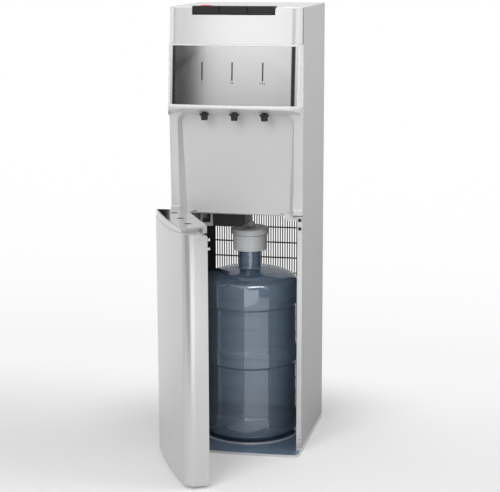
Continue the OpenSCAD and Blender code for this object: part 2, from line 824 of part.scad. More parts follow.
module upper_hinge_bracket() color(steel) from_front() {
  slab(stile_top, stile_top + bracket_t) hinge_plate(rail_y - 1);
  translate([hinge_x, hinge_y, door_top - plug_h + 1])
    cylinder(h = stile_top + 1 - door_top + plug_h - 1, r = pin_r, $fn = 48);
}

module lower_plate(grow) slab(lip_h - bracket_t, lip_h + (grow > 0 ? 1 : 0))
  hinge_plate(-2 * fit, grow);

module lower_hinge_bracket() color(steel) from_front() {
  lower_plate(0);
  translate([hinge_x, hinge_y, lip_h - 1])
    cylinder(h = door_z + plug_h - lip_h, r = pin_r, $fn = 48);
}

// Plan of the closed door drawn in by inset: its hinge edge is rounded about the pins
module door_outline(inset = 0) difference() {
  intersection() {
    bowed_plan(body_w - 2 * inset, door_t - inset, door_r - inset, door_bow);
    translate([-side_x, -body_d]) square([body_w, body_d - door_gap - inset]);
  }
  difference() {
    translate([-side_x - 1, hinge_y]) square(knuckle_r + 1);
    translate([hinge_x, hinge_y]) circle(knuckle_r - inset, $fn = 96);
  }
}

module door_skin() color(silver) from_front() door_pose() slab(door_z + cap_t, door_top) difference() {
  door_outline();
  door_outline(door_wall);
  translate([hinge_x, -door_gap - door_wall])
    square([side_x - door_wall - hinge_x, door_wall + 1]);
}

module door_liner() color(silver) from_front() door_pose() difference() {
  block(hinge_x, side_x - door_wall, -door_gap - door_wall, -door_gap, door_z + cap_t, door_top);
  // Shallow pressed panel on the inner face
  block(hinge_x + 20, side_x - 24, -door_gap - 1, 0, door_z + 30, door_top - 40);
}

module pin_bore(z) translate([hinge_x, hinge_y, z]) cylinder(h = 2 * plug_h, r = pin_r + pin_fit, $fn = 48);

rim_h = 4.5;
end_rise = 9;
rise_x = -60;
rise_w = 3.5;
end_top = tray_z + end_rise;
tray_end = tray_front_w / 2 + 3;
rim_back = ledge_y - 1.5;
finger_r = 10;

// Border of the door's outer face that climbs beside the tray towards the free end
module rising_border(grow) intersection() {
  translate([0, -hinge_edge, grow]) rotate([90, 0, 0]) linear_extrude(body_d)
    polygon(concat([[rise_x, door_top], [rise_x, tray_z]], rise_curve(),
      [[side_x, end_top], [side_x, door_top]]));
  slab(door_top, end_top + grow) difference() {
    door_outline();
    door_outline(rise_w + grow);
  }
}

function rise_curve() = [for (i = [1 : 10])
  [rise_x + (tray_end - rise_x) * i / 10, tray_z + end_rise * pow(i / 10, 2)]];

// Rounded hollow for the fingers at the door's free end
module finger_scoop() {
  z = end_top + 2;
  x = side_x - door_wall - finger_r + 1;
  ends = [-door_t + finger_r + 10, rim_back - finger_r - 1.5];
  translate([x, ends[0], z]) rotate([-90, 0, 0]) cylinder(h = ends[1] - ends[0], r = finger_r, $fn = 48);
  for (y = ends) translate([x, y, z]) sphere(finger_r, $fn = 48);
}

module door_cap_top() color(silver) from_front() door_pose() difference() {
  union() {
    slab(door_top - plug_h, door_top) door_outline(door_wall + fit / 2);
    slab(door_top, tray_z) door_outline();
    intersection() {
      slab(door_top, end_top) door_outline();
      union() {
        block(tray_end, side_x, -body_d / 2, rim_back, door_top, end_top);
        block(tray_end, side_x, -body_d / 2, 0, door_top, door_top + rim_h);
      }
    }
    rising_border(0);
  }
  slab(door_top - plug_h - 1, tray_z + 1) basin_plan(-slide_fit);
  finger_scoop();
  pin_bore(door_top - plug_h - 1);
}

module door_cap_bottom() color(silver) from_front() door_pose() difference() {
  union() {
    slab(door_z, door_z + cap_t) door_outline();
    slab(door_z + cap_t, door_z + cap_t + plug_h) door_outline(door_wall + fit / 2);
  }
  slab(door_z + cap_t, door_z + cap_t + plug_h + 1)
    door_rect(-110, side_x - plug_h, -door_t + plug_h, -door_gap - plug_h, 8);
  pin_bore(door_z - 1);
}

// A rectangle with rounded corners given by its limits
module door_rect(x0, x1, y0, y1, r) {
  translate([x0 + r, y0]) square([x1 - x0 - 2 * r, y1 - y0]);
  translate([x0, y0 + r]) square([x1 - x0, y1 - y0 - 2 * r]);
  for (x = [x0 + r, x1 - r], y = [y0 + r, y1 - r]) translate([x, y]) circle(r, $fn = 48);
}

module catch_studs() color(black) from_front() door_pose() for (z = catch_z)
  translate([catch_x, -door_gap, z]) rotate([-90, 0, 0]) {
    cylinder(h = stud_out - 1, r = stud_r - 0.8, $fn = 32);
    translate([0, 0, stud_out - 2]) cylinder(h = 2, r = stud_r, $fn = 32);
  }

tray_setback = 1;
tray_wall = 2;
ledge_w = 3;
grip_w = 8;
grip_y = [-door_t + 7, -2];
hinge_edge = door_gap + 2 * knuckle_r;

// Strip along the tray's free end
module end_strip(w, y0, y1) intersection() {
  translate([0, y0]) square([side_x, y1 - y0]);
  polygon([
    [tray_front_w / 2 - w, -door_t - door_bow], [side_x, -door_t - door_bow],
    [side_x, tray_back], [tray_back_w / 2 - w, tray_back]
  ]);
}

// Plan of the tray drawn in by inset: it follows the door's face and narrows into the niche
module tray_plan(inset = 0) intersection() {
  bowed_plan(body_w - 2 * inset, door_t - tray_setback - inset, door_r, door_bow, back = tray_back - inset);
  polygon([
    [-tray_front_w / 2 + inset, -door_t - door_bow], [tray_front_w / 2 - inset, -door_t - door_bow],
    [tray_back_w / 2 - inset, tray_back], [-tray_back_w / 2 + inset, tray_back]
  ]);
}

module basin_plan(inset)
  door_rect(-tray_back_w / 2 + inset, tray_back_w / 2 - inset, -door_t + 10 + inset,
    -door_gap - door_wall - 4 - inset, 8);

module drip_tray() color(silver) from_front() door_pose() difference() {
  union() {
    slab(tray_z, tray_top) tray_plan();
    slab(door_top - basin_h, tray_z + 1) basin_plan(0);
  }
  slab(tray_top - grid_t, tray_top + 1) tray_plan(tray_wall);
  slab(tray_z + tray_wall, tray_top) difference() {
    tray_plan(tray_wall + ledge_w);
    end_strip(grip_w + tray_wall, -body_d / 2, tray_back);
  }
  slab(door_top - basin_h + tray_wall, tray_z + tray_wall + 1) basin_plan(tray_wall);
  // Undercut by which the tray's free end is lifted
  slab(tray_z - 1, tray_top - grid_t - ledge_w) end_strip(grip_w, grip_y[0], grip_y[1]);
  rising_border(fit);
}

module drip_grid() color(steel) from_front() door_pose() slab(tray_top - grid_t, tray_top) difference() {
  tray_plan(tray_wall + fit);
  for (x = [-nozzle_pitch, 0, nozzle_pitch]) translate([x, -nozzle_out - 3]) {
    translate([-drain_w / 2, -(drain_l - drain_w) / 2]) square([drain_w, drain_l - drain_w]);
    for (s = [-1, 1]) translate([0, s * (drain_l - drain_w) / 2]) circle(drain_w / 2, $fn = 48);
  }
}

// ---- Bottle and probe ----

foot_r = 16;
lower_band = [62, 180];
upper_band = [226, 323];

module at_bottle(z) translate([0, bottle_y, z]) children();

function foot_arc(g) =
  [for (a = [-90 : 15 : 0]) [bottle_r - foot_r + (foot_r - g) * cos(a), foot_r + (foot_r - g) * sin(a)]];

// A band drawn in between two heights
function recess(band, g) = [
  [bottle_r - g, band[0] - panel_in], [bottle_r - g - panel_in, band[0]],
  [bottle_r - g - panel_in, band[1]], [bottle_r - g, band[1] + panel_in]
];

function dome(g) = [
  for (a = [0 : 9 : 90])
    [neck_r + 6 + (bottle_r - g - neck_r - 6) * pow(cos(a), 1.2),
      shoulder_z + (neck_z - g - shoulder_z) * pow(sin(a), 1.1)]
];

// Half of the bottle's section, drawn in by g
function bottle_section(g) = concat(
  [[0, g]], foot_arc(g), recess(lower_band, g), recess(upper_band, g), dome(g),
  [[neck_r - g, neck_z + 6 - g]]
);

module bottle() color(blue) from_front() at_bottle(bottle_z) difference() {
  union() {
    rotate_extrude($fn = 128)
      polygon(concat(bottle_section(0), [[neck_r, neck_z + neck_h], [0, neck_z + neck_h]]));
    translate([0, 0, neck_z + neck_h - 6]) cylinder(h = 6, r = neck_r + 2, $fn = 64);
  }
  rotate_extrude($fn = 128) polygon(concat(bottle_section(bottle_wall),
    [[neck_r - bottle_wall, neck_z + neck_h + 1], [0, neck_z + neck_h + 1]]));
}

dip_foot = bottle_z + 14;
neck_top = bottle_z + neck_z + neck_h;

module dip_tube() color(white_silver) from_front() at_bottle(dip_foot) difference() {
  cylinder(h = neck_top - dip_foot + 2 * fit, r = hose_r, $fn = 48);
  translate([0, 0, -1]) cylinder(h = 20, r = hose_r - 2, $fn = 48);
  for (a = [0, 90]) rotate([90, 0, a]) translate([0, 6, 0])
    cylinder(h = 4 * hose_r, r = 2, center = true, $fn = 24);
}

module probe_collar() color(white_silver) from_front() at_bottle(collar_z) difference() {
  cylinder(h = collar_h, r1 = cap_r - 4, r2 = cap_r - 3, $fn = 96);
  translate([0, 0, -1]) cylinder(h = neck_top - collar_z + 1 + 2 * fit, r = neck_r + 2 + fit, $fn = 64);
  // Grip flutes
  for (a = [0 : 20 : 340]) rotate([0, 0, a]) translate([cap_r - 1.5, 0, 8])
    cylinder(h = collar_h - 14, r = 2.5, $fn = 24);
}

module probe_cap() color(white_silver) from_front() at_bottle(cap_z) {
  cylinder(h = 2, r = cap_r - 5, $fn = 96);
  translate([0, 0, 2]) cylinder(h = cap_h - 5, r = cap_r, $fn = 96);
  difference() {
    translate([0, 0, cap_h - 3]) cylinder(h = 3, r1 = cap_r, r2 = cap_r - 4, $fn = 96);
    translate([0, 0, cap_h - cap_dish]) cylinder(h = cap_dish + 1, r = boot_r + 3, $fn = 64);
  }
}

boot_r = 10.5;
boot_h = 18;

module probe_boot() color(white_silver) from_front() at_bottle(boot_z) intersection() {
  translate([0, 0, boot_h / 2]) sphere(boot_r, $fn = 64);
  cylinder(h = boot_h, r = boot_r, $fn = 64);
}

module supply_hose() color(white_silver) from_front() at_bottle(boot_z + boot_h)
  cylinder(h = hose_end - boot_z - boot_h, r = hose_r, $fn = 48);

module hose_grommet() color(black) from_front() at_bottle(deck_z) difference() {
  union() {
    translate([0, 0, -3]) cylinder(h = 3, r = hose_hole_r + 3, $fn = 48);
    cylinder(h = sheet_t, r = hose_hole_r - fit, $fn = 48);
    translate([0, 0, sheet_t]) cylinder(h = 3, r = hose_hole_r + 3, $fn = 48);
  }
  translate([0, 0, -5]) cylinder(h = 20, r = hose_r + fit / 2, $fn = 48);
}

// ---- Pump under the bay's ceiling ----

pump_y = [50, 110];
pump_x = [-70, 8];
pump_drop = 41;
pump_wall = 2;

module pump_front(grow) {
  x0 = pump_x[0] + grow;
  x1 = pump_x[1] - grow;
  z0 = deck_z - pump_drop + grow;
  r = 12;
  translate([x0, z0]) square([x1 - x0 - r, deck_z - z0]);
  translate([x0, z0 + r]) square([x1 - x0, deck_z - z0 - r]);
  translate([x1 - r, z0 + r]) circle(r, $fn = 48);
}

module pump_housing() color(black) from_front() difference() {
  translate([0, pump_y[1], 0]) rotate([90, 0, 0]) linear_extrude(pump_y[1] - pump_y[0]) pump_front(0);
  intersection() {
    translate([0, pump_y[1] - pump_wall, 0]) rotate([90, 0, 0])
      linear_extrude(pump_y[1] - pump_y[0] - 2 * pump_wall) pump_front(pump_wall);
    block(-side_x, side_x, 0, body_d, 0, deck_z - pump_wall);
  }
}

module pump_bracket() color(grey) from_front() difference() {
  block(pump_x[0] - 30, pump_x[0] - fit, pump_y[0], pump_y[1], deck_z - pump_drop, deck_z);
  block(pump_x[0] - 28, pump_x[0], pump_y[0] + 2, pump_y[1] - 2, deck_z - pump_drop + 2, deck_z - 2);
  block(pump_x[0] - 26, pump_x[0] - 6, pump_y[0] - 1, pump_y[1] + 1, deck_z - pump_drop + 8, deck_z - 10);
}

module water_pump() color(grey) from_front() {
  z = deck_z - pump_drop / 2 - 3;
  y = (pump_y[0] + pump_y[1]) / 2;
  translate([pump_x[0] + 8, y, z]) rotate([0, 90, 0]) cylinder(h = 34, r = 13, $fn = 48);
  translate([pump_x[0] + 42, y, z]) rotate([0, 90, 0]) cylinder(h = 16, r = 15, $fn = 48);
  block(pump_x[0] + 12, pump_x[0] + 56, y - 10, y + 10, z - 15.5, z);
}

// ---- Machine space ----

plate_side = 16;
plate_back = 28;
hose_room = 18;
plate_w = inner_x - plate_side - hose_room;
plate_d = 108;
plate_h = 3;
mount_in = 10;
mount_x = plate_w / 2 - mount_in;
mount_y = plate_d / 2 - mount_in;
mount_h = 14;
shell_r = plate_w / 2 - 4;
compressor_at = [inner_x - plate_side - plate_w / 2, body_d - plate_back - plate_d / 2];

module mount_places(at) for (x = [-mount_x, mount_x], y = [-mount_y, mount_y])
  translate([at[0] + x, at[1] + y, 0]) children();

function shell_arc(r, h) = [for (a = [0 : 15 : 90]) [r * pow(cos(a), 0.7), h * sin(a)]];

module compressor() color(black) from_front() {
  z = deck_z + sheet_t + mount_h;
  difference() {
    translate([compressor_at[0], compressor_at[1], z]) linear_extrude(plate_h)
      translate([-plate_w / 2, -plate_d / 2]) door_rect(0, plate_w, 0, plate_d, 12);
    mount_places(compressor_at) translate([0, 0, z - 1]) cylinder(h = plate_h + 2, r = 3, $fn = 24);
  }
  translate([compressor_at[0], compressor_at[1], z + plate_h]) {
    translate([0, 0, 30]) mirror([0, 0, 1]) rotate_extrude($fn = 96)
      polygon(concat([[0, 0]], shell_arc(shell_r, 30)));
    translate([0, 0, 30]) cylinder(h = 40, r = shell_r, $fn = 96);
    // Weld flange between the two halves of the shell
    translate([0, 0, 62]) cylinder(h = 4, r = shell_r + 3, $fn = 96);
    cylinder(h = 12, r = shell_r - 20, $fn = 96);
    translate([0, 0, 70]) rotate_extrude($fn = 96) polygon(concat([[0, 0]], shell_arc(shell_r, 45)));
    translate([shell_r - 8, -16, 36]) cube([18, 32, 24]);
  }
}

module compressor_mounts() color(black) from_front() mount_places(compressor_at) {
  translate([0, 0, deck_z + sheet_t]) cylinder(h = mount_h, r = 9, $fn = 32);
  translate([0, 0, deck_z - 4]) cylinder(h = mount_h + sheet_t + 8, r = 2.7, $fn = 24);
  translate([0, 0, deck_z - 4]) cylinder(h = 4, r = 5, $fn = 24);
}

jacket_side = 8;
jacket_room = 10;
jacket_off = 29;
jacket_r = (inner_x - jacket_side - jacket_room) / 2;
cold_at = [-inner_x + jacket_side + jacket_r, bottle_y - jacket_off];
jacket_z = deck_z + sheet_t;
jacket_h = line_z - 57 - jacket_z;
foam_t = 14;
cold_dome_h = 10;
tank_t = 1;
port_r = 2;
cold_ports = [[10, 0], [-12, -10]];

module cold_tank_jacket() color("white") from_front() translate([cold_at[0], cold_at[1], jacket_z])
  difference() {
    cylinder(h = jacket_h, r = jacket_r, $fn = 96);
    translate([0, 0, foam_t]) cylinder(h = jacket_h, r = jacket_r - foam_t, $fn = 96);
  }

module cold_tank_form(inset) {
  h = jacket_h - 2 * foam_t;
  r = jacket_r - foam_t - 1;
  translate([0, 0, inset]) cylinder(h = h - inset, r = r - inset, $fn = 96);
  translate([0, 0, h]) cylinder(h = cold_dome_h - inset, r1 = r - inset, r2 = 20, $fn = 96);
}

module cold_tank() color(steel) from_front() translate([cold_at[0], cold_at[1], jacket_z + foam_t])
  difference() {
    cold_tank_form(0);
    cold_tank_form(tank_t);
    for (p = cold_ports) translate([p[0], p[1], jacket_h / 2]) cylinder(h = jacket_h, r = port_r, $fn = 24);
  }

hot_r = 42;
hot_at = [inner_x - hot_r - 26, 76];
hot_z = deck_z + 70;
hot_h = line_z - 48 - hot_z;
hot_dome_h = 8;

module hot_tank() color(steel) from_front() translate([hot_at[0], hot_at[1], 0]) {
  difference() {
    union() {
      translate([0, 0, hot_z]) cylinder(h = hot_h, r = hot_r, $fn = 96);
      translate([0, 0, hot_z + hot_h]) cylinder(h = hot_dome_h, r1 = hot_r, r2 = 15, $fn = 96);
      // Heater band
      translate([0, 0, hot_z + 20]) cylinder(h = 26, r = hot_r + 2, $fn = 96);
    }
    translate([0, 0, hot_z + tank_t]) cylinder(h = hot_h - tank_t, r = hot_r - tank_t, $fn = 96);
    translate([0, 0, hot_z + hot_h - 1]) cylinder(h = hot_dome_h + 2, r = port_r, $fn = 24);
  }
  // Stand
  translate([0, 0, deck_z + sheet_t]) cylinder(h = hot_z - deck_z - sheet_t / 2, r = 16, $fn = 48);
  translate([0, 0, deck_z + sheet_t]) cylinder(h = 2, r = 30, $fn = 48);
}

module water_lines() color(white_silver) from_front() {
  inlet_y = valve_back + 12;
  cold_top = jacket_z + jacket_h - foam_t + cold_dome_h;
  hot_top = hot_z + hot_h + hot_dome_h;
  tee_z = line_z - 20;
  inlet = [cold_at[0] + cold_ports[0][0], cold_at[1] + cold_ports[0][1]];
  outlet = [cold_at[0] + cold_ports[1][0], cold_at[1] + cold_ports[1][1]];
  rod([[0, bottle_y, hose_end], [0, bottle_y, tee_z], [inlet[0], inlet[1], tee_z],
    [inlet[0], inlet[1], cold_top]], line_r, elbow);
  rod([[0, bottle_y, tee_z], [0, bottle_y - 40, line_z], [0, inlet_y, line_z]], line_r, elbow);
  rod([[outlet[0], outlet[1], cold_top], [outlet[0], outlet[1], line_z + 45],
    [nozzle_pitch, 44, line_z + 45], [nozzle_pitch, 44, line_z], [nozzle_pitch, inlet_y, line_z]],
    line_r, elbow);
  rod([[hot_at[0], hot_at[1], hot_top], [hot_at[0], hot_at[1], line_z + 24],
    [-nozzle_pitch, 30, line_z + 24], [-nozzle_pitch, 30, line_z], [-nozzle_pitch, inlet_y, line_z]],
    line_r, elbow);
}

box_z = deck_z + 130;
box_x = -inner_x + 16;
box_w = 88;
box_h = 110;
box_d = 42;
brim = 4;

module control_box() color("white") from_front() {
  block(box_x, box_x + box_w, body_d - box_d, body_d, box_z, box_z + box_h);
  // Brim where the lid meets the box
  block(box_x - brim, box_x + box_w + brim, body_d - box_d + 6, body_d - box_d + 9, box_z - brim,
    box_z + box_h + brim);
}

base_tray();
base_pads();
left_side_panel();
right_side_panel();
top_cover();
lower_front_frame();
machine_deck();
back_guard();
rear_cover();
rear_screws();
niche_shell();
control_bezel();
steel_panel();
indicator_lenses();
display_board();
fascia();
switch_board();
button_hot();
button_room();
button_cold();
spring_hot();
spring_room();
spring_cold();
child_lock();
nozzle_hot();
nozzle_room();
nozzle_cold();
dispense_valves();
upper_hinge_bracket();
lower_hinge_bracket();
door_skin();
door_liner();
door_cap_top();
door_cap_bottom();
catch_studs();
catch_block();
drip_tray();
drip_grid();
bottle();
probe_collar();
probe_cap();
probe_boot();
dip_tube();
supply_hose();
hose_grommet();
pump_housing();
pump_bracket();
water_pump();
compressor();
compressor_mounts();
cold_tank();
cold_tank_jacket();
hot_tank();
water_lines();
control_box();
condenser_tube();
condenser_wires();
condenser_clips();
drain_and_inlet();
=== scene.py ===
import json
import math

import bpy
from mathutils import Matrix, Vector

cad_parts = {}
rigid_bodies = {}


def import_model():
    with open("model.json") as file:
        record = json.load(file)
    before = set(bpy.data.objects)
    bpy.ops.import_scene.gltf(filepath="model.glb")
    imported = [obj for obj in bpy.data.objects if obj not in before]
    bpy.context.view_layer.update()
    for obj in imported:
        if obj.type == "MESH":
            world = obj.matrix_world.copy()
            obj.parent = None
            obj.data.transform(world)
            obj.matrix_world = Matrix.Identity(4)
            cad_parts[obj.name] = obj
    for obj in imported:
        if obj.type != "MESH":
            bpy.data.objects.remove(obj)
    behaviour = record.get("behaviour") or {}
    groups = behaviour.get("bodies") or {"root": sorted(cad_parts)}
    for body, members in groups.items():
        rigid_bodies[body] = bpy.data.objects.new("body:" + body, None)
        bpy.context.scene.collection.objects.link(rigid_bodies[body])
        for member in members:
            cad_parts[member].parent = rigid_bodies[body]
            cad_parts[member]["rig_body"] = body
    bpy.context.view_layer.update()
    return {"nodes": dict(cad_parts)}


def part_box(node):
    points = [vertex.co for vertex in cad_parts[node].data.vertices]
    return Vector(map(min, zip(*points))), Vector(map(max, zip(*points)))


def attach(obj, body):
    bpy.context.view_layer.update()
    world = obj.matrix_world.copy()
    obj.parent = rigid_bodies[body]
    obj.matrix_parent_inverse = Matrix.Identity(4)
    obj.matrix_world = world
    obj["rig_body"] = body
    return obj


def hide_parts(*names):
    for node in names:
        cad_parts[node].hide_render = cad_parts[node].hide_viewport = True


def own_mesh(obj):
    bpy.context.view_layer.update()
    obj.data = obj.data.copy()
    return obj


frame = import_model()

cadNodes = frame["nodes"]
bpy.ops.object.select_all(action="DESELECT")
mm = 0.001


# Camera and light

cameraSettings = {
    "place": (0.75934, -3.45186, 1.1843),
    "yaw": 12.814,      # turned towards -X, in degrees
    "pitch": -11.86,
    "roll": -0.215,
    "lens": 107.1,
    "shift": (0.0204, 0.0204),
    "sensor": 36,
    "farEnd": 50,
}


def addCamera(s):
    bpy.ops.object.camera_add(location=s["place"])
    camera = bpy.context.object
    turn = (Matrix.Rotation(math.radians(s["yaw"]), 4, "Z")
            @ Matrix.Rotation(math.radians(90 + s["pitch"]), 4, "X")
            @ Matrix.Rotation(math.radians(s["roll"]), 4, "Z"))
    camera.matrix_world = Matrix.Translation(s["place"]) @ turn
    camera.data.sensor_width = s["sensor"]
    camera.data.lens = s["lens"]
    camera.data.shift_x, camera.data.shift_y = s["shift"]
    camera.data.clip_end = s["farEnd"]
    bpy.context.scene.camera = camera
    bpy.ops.object.select_all(action="DESELECT")


# Each lamp: place, point it is aimed at, width, height, power in watts
lampSettings = {
    "frontSoftbox": ((-0.7, -3.0, 2.3), (0, 0, 0.6), 1.6, 2.0, 54),
    "rightSoftbox": ((1.4, -0.25, 2.1), (0.15, 0, 0.8), 0.8, 1.0, 12),
    "topSoftbox": ((0, -0.4, 3.2), (0, 0, 0.5), 2.0, 2.0, 14),
    "lowSoftbox": ((0.35, -3.0, 0.75), (0, 0, 0.45), 1.4, 0.9, 6),
}


def addLamps(settings):
    for name, (place, target, width, height, power) in settings.items():
        bpy.ops.object.light_add(type="AREA", location=place)
        lamp = bpy.context.object
        lamp.name = name
        lamp.data.shape = "RECTANGLE"
        lamp.data.size, lamp.data.size_y = width, height
        lamp.data.energy = power
        lamp.visible_glossy = False
        aim = Vector(target) - Vector(place)
        lamp.rotation_euler = aim.to_track_quat("-Z", "Y").to_euler()
    bpy.ops.object.select_all(action="DESELECT")


# Small helpers for materials

def newMaterial(name, values):
    material = bpy.data.materials.new(name)
    material.use_nodes = True
    tree = material.node_tree
    tree.nodes.clear()
    output = tree.nodes.new("ShaderNodeOutputMaterial")
    shader = tree.nodes.new("ShaderNodeBsdfPrincipled")
    tree.links.new(shader.outputs["BSDF"], output.inputs["Surface"])
    for key, value in values.items():
        shader.inputs[key].default_value = value
    return material, tree, shader


def fillInputs(tree, node, inputs):
    for key, value in inputs.items():
        if isinstance(value, bpy.types.NodeSocket):
            tree.links.new(value, node.inputs[key])
        else:
            node.inputs[key].default_value = value


def addNode(tree, kind, inputs, **settings):
    node = tree.nodes.new(kind)
    for key, value in settings.items():
        setattr(node, key, value)
    fillInputs(tree, node, inputs)
    return node


def useGroup(tree, group, inputs):
    node = tree.nodes.new("ShaderNodeGroup")
    node.node_tree = group
    fillInputs(tree, node, inputs)
    return node


def mathOut(tree, operation, *values, clamp=False):
    return addNode(tree, "ShaderNodeMath", dict(enumerate(values)), operation=operation,
                   use_clamp=clamp).outputs[0]


def mixColour(tree, factor, first, second):
    node = addNode(tree, "ShaderNodeMix", {}, data_type="RGBA")
    fillInputs(tree, node, {0: factor, 6: first, 7: second})
    return node.outputs[2]


def objectPlace(tree):
    return tree.nodes.new("ShaderNodeTexCoord").outputs["Object"]


def placeAxes(tree):
    return addNode(tree, "ShaderNodeSeparateXYZ", {"Vector": objectPlace(tree)}).outputs


def normalAxes(tree):
    geometry = tree.nodes.new("ShaderNodeNewGeometry")
    return addNode(tree, "ShaderNodeSeparateXYZ", {"Vector": geometry.outputs["Normal"]}).outputs


# One where the value lies between two limits, otherwise nought
def within(tree, value, low, high):
    return mathOut(tree, "COMPARE", value, (low + high) / 2, (high - low) / 2)


def stretchedPlace(tree, scale):
    mapping = addNode(tree, "ShaderNodeMapping", {"Vector": objectPlace(tree), "Scale": scale})
    return mapping.outputs["Vector"]


def newGroup(name, inputs, outputs):
    kinds = {"value": "NodeSocketFloat", "colour": "NodeSocketColor", "vector": "NodeSocketVector"}
    group = bpy.data.node_groups.new(name, "ShaderNodeTree")
    for label, kind in inputs.items():
        group.interface.new_socket(label, in_out="INPUT", socket_type=kinds[kind])
    for label, kind in outputs.items():
        group.interface.new_socket(label, in_out="OUTPUT", socket_type=kinds[kind])
    start = group.nodes.new("NodeGroupInput").outputs
    end = group.nodes.new("NodeGroupOutput").inputs
    return group, start, end


# Effects that several finishes share

grainHeight = 0.0004
bandSettings = {"samples": 8, "alikeAtStart": 0.995, "alikeAtFull": 0.85}


def makeUnevenTone():
    group, start, end = newGroup(
        "unevenTone",
        {"Place": "vector", "Colour": "colour", "Scale": "value", "Amount": "value"},
        {"Colour": "colour"})
    noise = addNode(group, "ShaderNodeTexNoise", {
        "Vector": start["Place"], "Scale": start["Scale"], "Detail": 3.0, "Roughness": 0.55})
    centred = mathOut(group, "SUBTRACT", noise.outputs["Fac"], 0.5)
    factor = mathOut(group, "MULTIPLY_ADD", centred, start["Amount"], 1.0)
    tinted = addNode(group, "ShaderNodeVectorMath", {0: start["Colour"], "Scale": factor},
                     operation="SCALE")
    group.links.new(tinted.outputs["Vector"], end["Colour"])
    return group


def makeUnevenGloss():
    group, start, end = newGroup(
        "unevenGloss",
        {"Place": "vector", "Roughness": "value", "Scale": "value", "Spread": "value"},
        {"Roughness": "value"})
    noise = addNode(group, "ShaderNodeTexNoise", {
        "Vector": start["Place"], "Scale": start["Scale"], "Detail": 4.0, "Roughness": 0.6})
    centred = mathOut(group, "SUBTRACT", noise.outputs["Fac"], 0.5)
    total = mathOut(group, "MULTIPLY_ADD", centred, start["Spread"], start["Roughness"], clamp=True)
    group.links.new(total, end["Roughness"])
    return group


def makeFineGrain():
    group, start, end = newGroup(
        "fineGrain", {"Place": "vector", "Scale": "value", "Depth": "value"}, {"Normal": "vector"})
    noise = addNode(group, "ShaderNodeTexNoise", {
        "Vector": start["Place"], "Scale": start["Scale"], "Detail": 2.0, "Roughness": 0.5})
    bump = addNode(group, "ShaderNodeBump", {
        "Strength": start["Depth"], "Distance": grainHeight, "Height": noise.outputs["Fac"]})
    group.links.new(bump.outputs["Normal"], end["Normal"])
    return group


# A narrow band along sharp edges, where a finish catches light
def makeEdgeBand(s):
    group, start, end = newGroup("edgeBand", {"Width": "value"}, {"Mask": "value"})
    rounded = addNode(group, "ShaderNodeBevel", {"Radius": start["Width"]},
                      samples=s["samples"])
    plain = group.nodes.new("ShaderNodeNewGeometry")
    alike = addNode(group, "ShaderNodeVectorMath", {
        0: rounded.outputs["Normal"], 1: plain.outputs["Normal"]}, operation="DOT_PRODUCT")
    mask = addNode(group, "ShaderNodeMapRange", {
        "Value": alike.outputs["Value"], "From Min": s["alikeAtStart"], "From Max": s["alikeAtFull"],
        "To Min": 0.0, "To Max": 1.0})
    group.links.new(mask.outputs["Result"], end["Mask"])
    return group


unevenTone = makeUnevenTone()
unevenGloss = makeUnevenGloss()
fineGrain = makeFineGrain()
edgeBand = makeEdgeBand(bandSettings)


# Finishes

satinSettings = {"paleEdge": 0.0012, "toneScale": 9.0, "glossScale": 60.0}


# Base colour with a random tone, paler along sharp edges as a painted highlight
def satinBase(tree, colour, tone, edge):
    s = satinSettings
    toned = useGroup(tree, unevenTone, {
        "Place": objectPlace(tree), "Colour": colour, "Scale": s["toneScale"], "Amount": tone})
    band = useGroup(tree, edgeBand, {"Width": s["paleEdge"]})
    paler = addNode(tree, "ShaderNodeVectorMath", {0: toned.outputs["Colour"], "Scale": 1 + edge},
                    operation="SCALE")
    return mixColour(tree, band.outputs["Mask"], toned.outputs["Colour"], paler.outputs["Vector"])


def satinSkin(tree, shader, roughness, spread, grain, grainScale):
    place = objectPlace(tree)
    gloss = useGroup(tree, unevenGloss, {
        "Place": place, "Roughness": roughness, "Scale": satinSettings["glossScale"],
        "Spread": spread})
    skin = useGroup(tree, fineGrain, {"Place": place, "Scale": float(grainScale), "Depth": grain})
    fillInputs(tree, shader, {"Roughness": gloss.outputs["Roughness"], "Normal": skin.outputs["Normal"]})


# A painted or moulded surface with an even satin gloss and a faint grain
def makeSatin(name, colour, roughness, metallic=0.0, grain=0.08, grainScale=900, tone=0.05, edge=0.1,
              spread=0.08, extra=None):
    material, tree, shader = newMaterial(name, {"Metallic": metallic, **(extra or {})})
    fillInputs(tree, shader, {"Base Color": satinBase(tree, (*colour, 1), tone, edge)})
    satinSkin(tree, shader, roughness, spread, grain, grainScale)
    return material


# Upper moulding, with painted shade behind the push buttons: the pocket they sit in is coloured near
# black
def makeFasciaPaintAndShade(s):
    material, tree, shader = newMaterial("fasciaPaintAndShade", {"Metallic": 0.35})
    place = placeAxes(tree)
    pocketShade = mathOut(tree, "MULTIPLY", within(tree, place["X"], -s["pocketShadeHalf"], s["pocketShadeHalf"]),
                   within(tree, place["Z"], s["pocketShadeFoot"], s["pocketShadeTop"]))
    white = satinBase(tree, (*s["colour"], 1), 0.03, 0.06)
    fillInputs(tree, shader, {"Base Color": mixColour(tree, pocketShade, white, (*s["pocketShadeColour"], 1))})
    satinSkin(tree, shader, s["roughness"], 0.04, 0.03, 900)
    return material


# Cabinet paint: a fine powder coat, with painted shade that darkens it towards the floor
def makeCabinetPaintAndShade(s):
    material, tree, shader = newMaterial("cabinetPaintAndShade", {"Metallic": 0.08})
    height = addNode(tree, "ShaderNodeMapRange", {
        "Value": placeAxes(tree)["Z"], "From Min": 0.0, "From Max": s["shadeTop"]})
    high = satinBase(tree, (*s["colour"], 1), 0.04, 0.08)
    low = addNode(tree, "ShaderNodeVectorMath", {0: high, "Scale": s["footShade"]}, operation="SCALE")
    fillInputs(tree, shader, {
        "Base Color": mixColour(tree, height.outputs["Result"], low.outputs["Vector"], high)})
    satinSkin(tree, shader, s["roughness"], 0.06, 0.1, 1400)
    return material
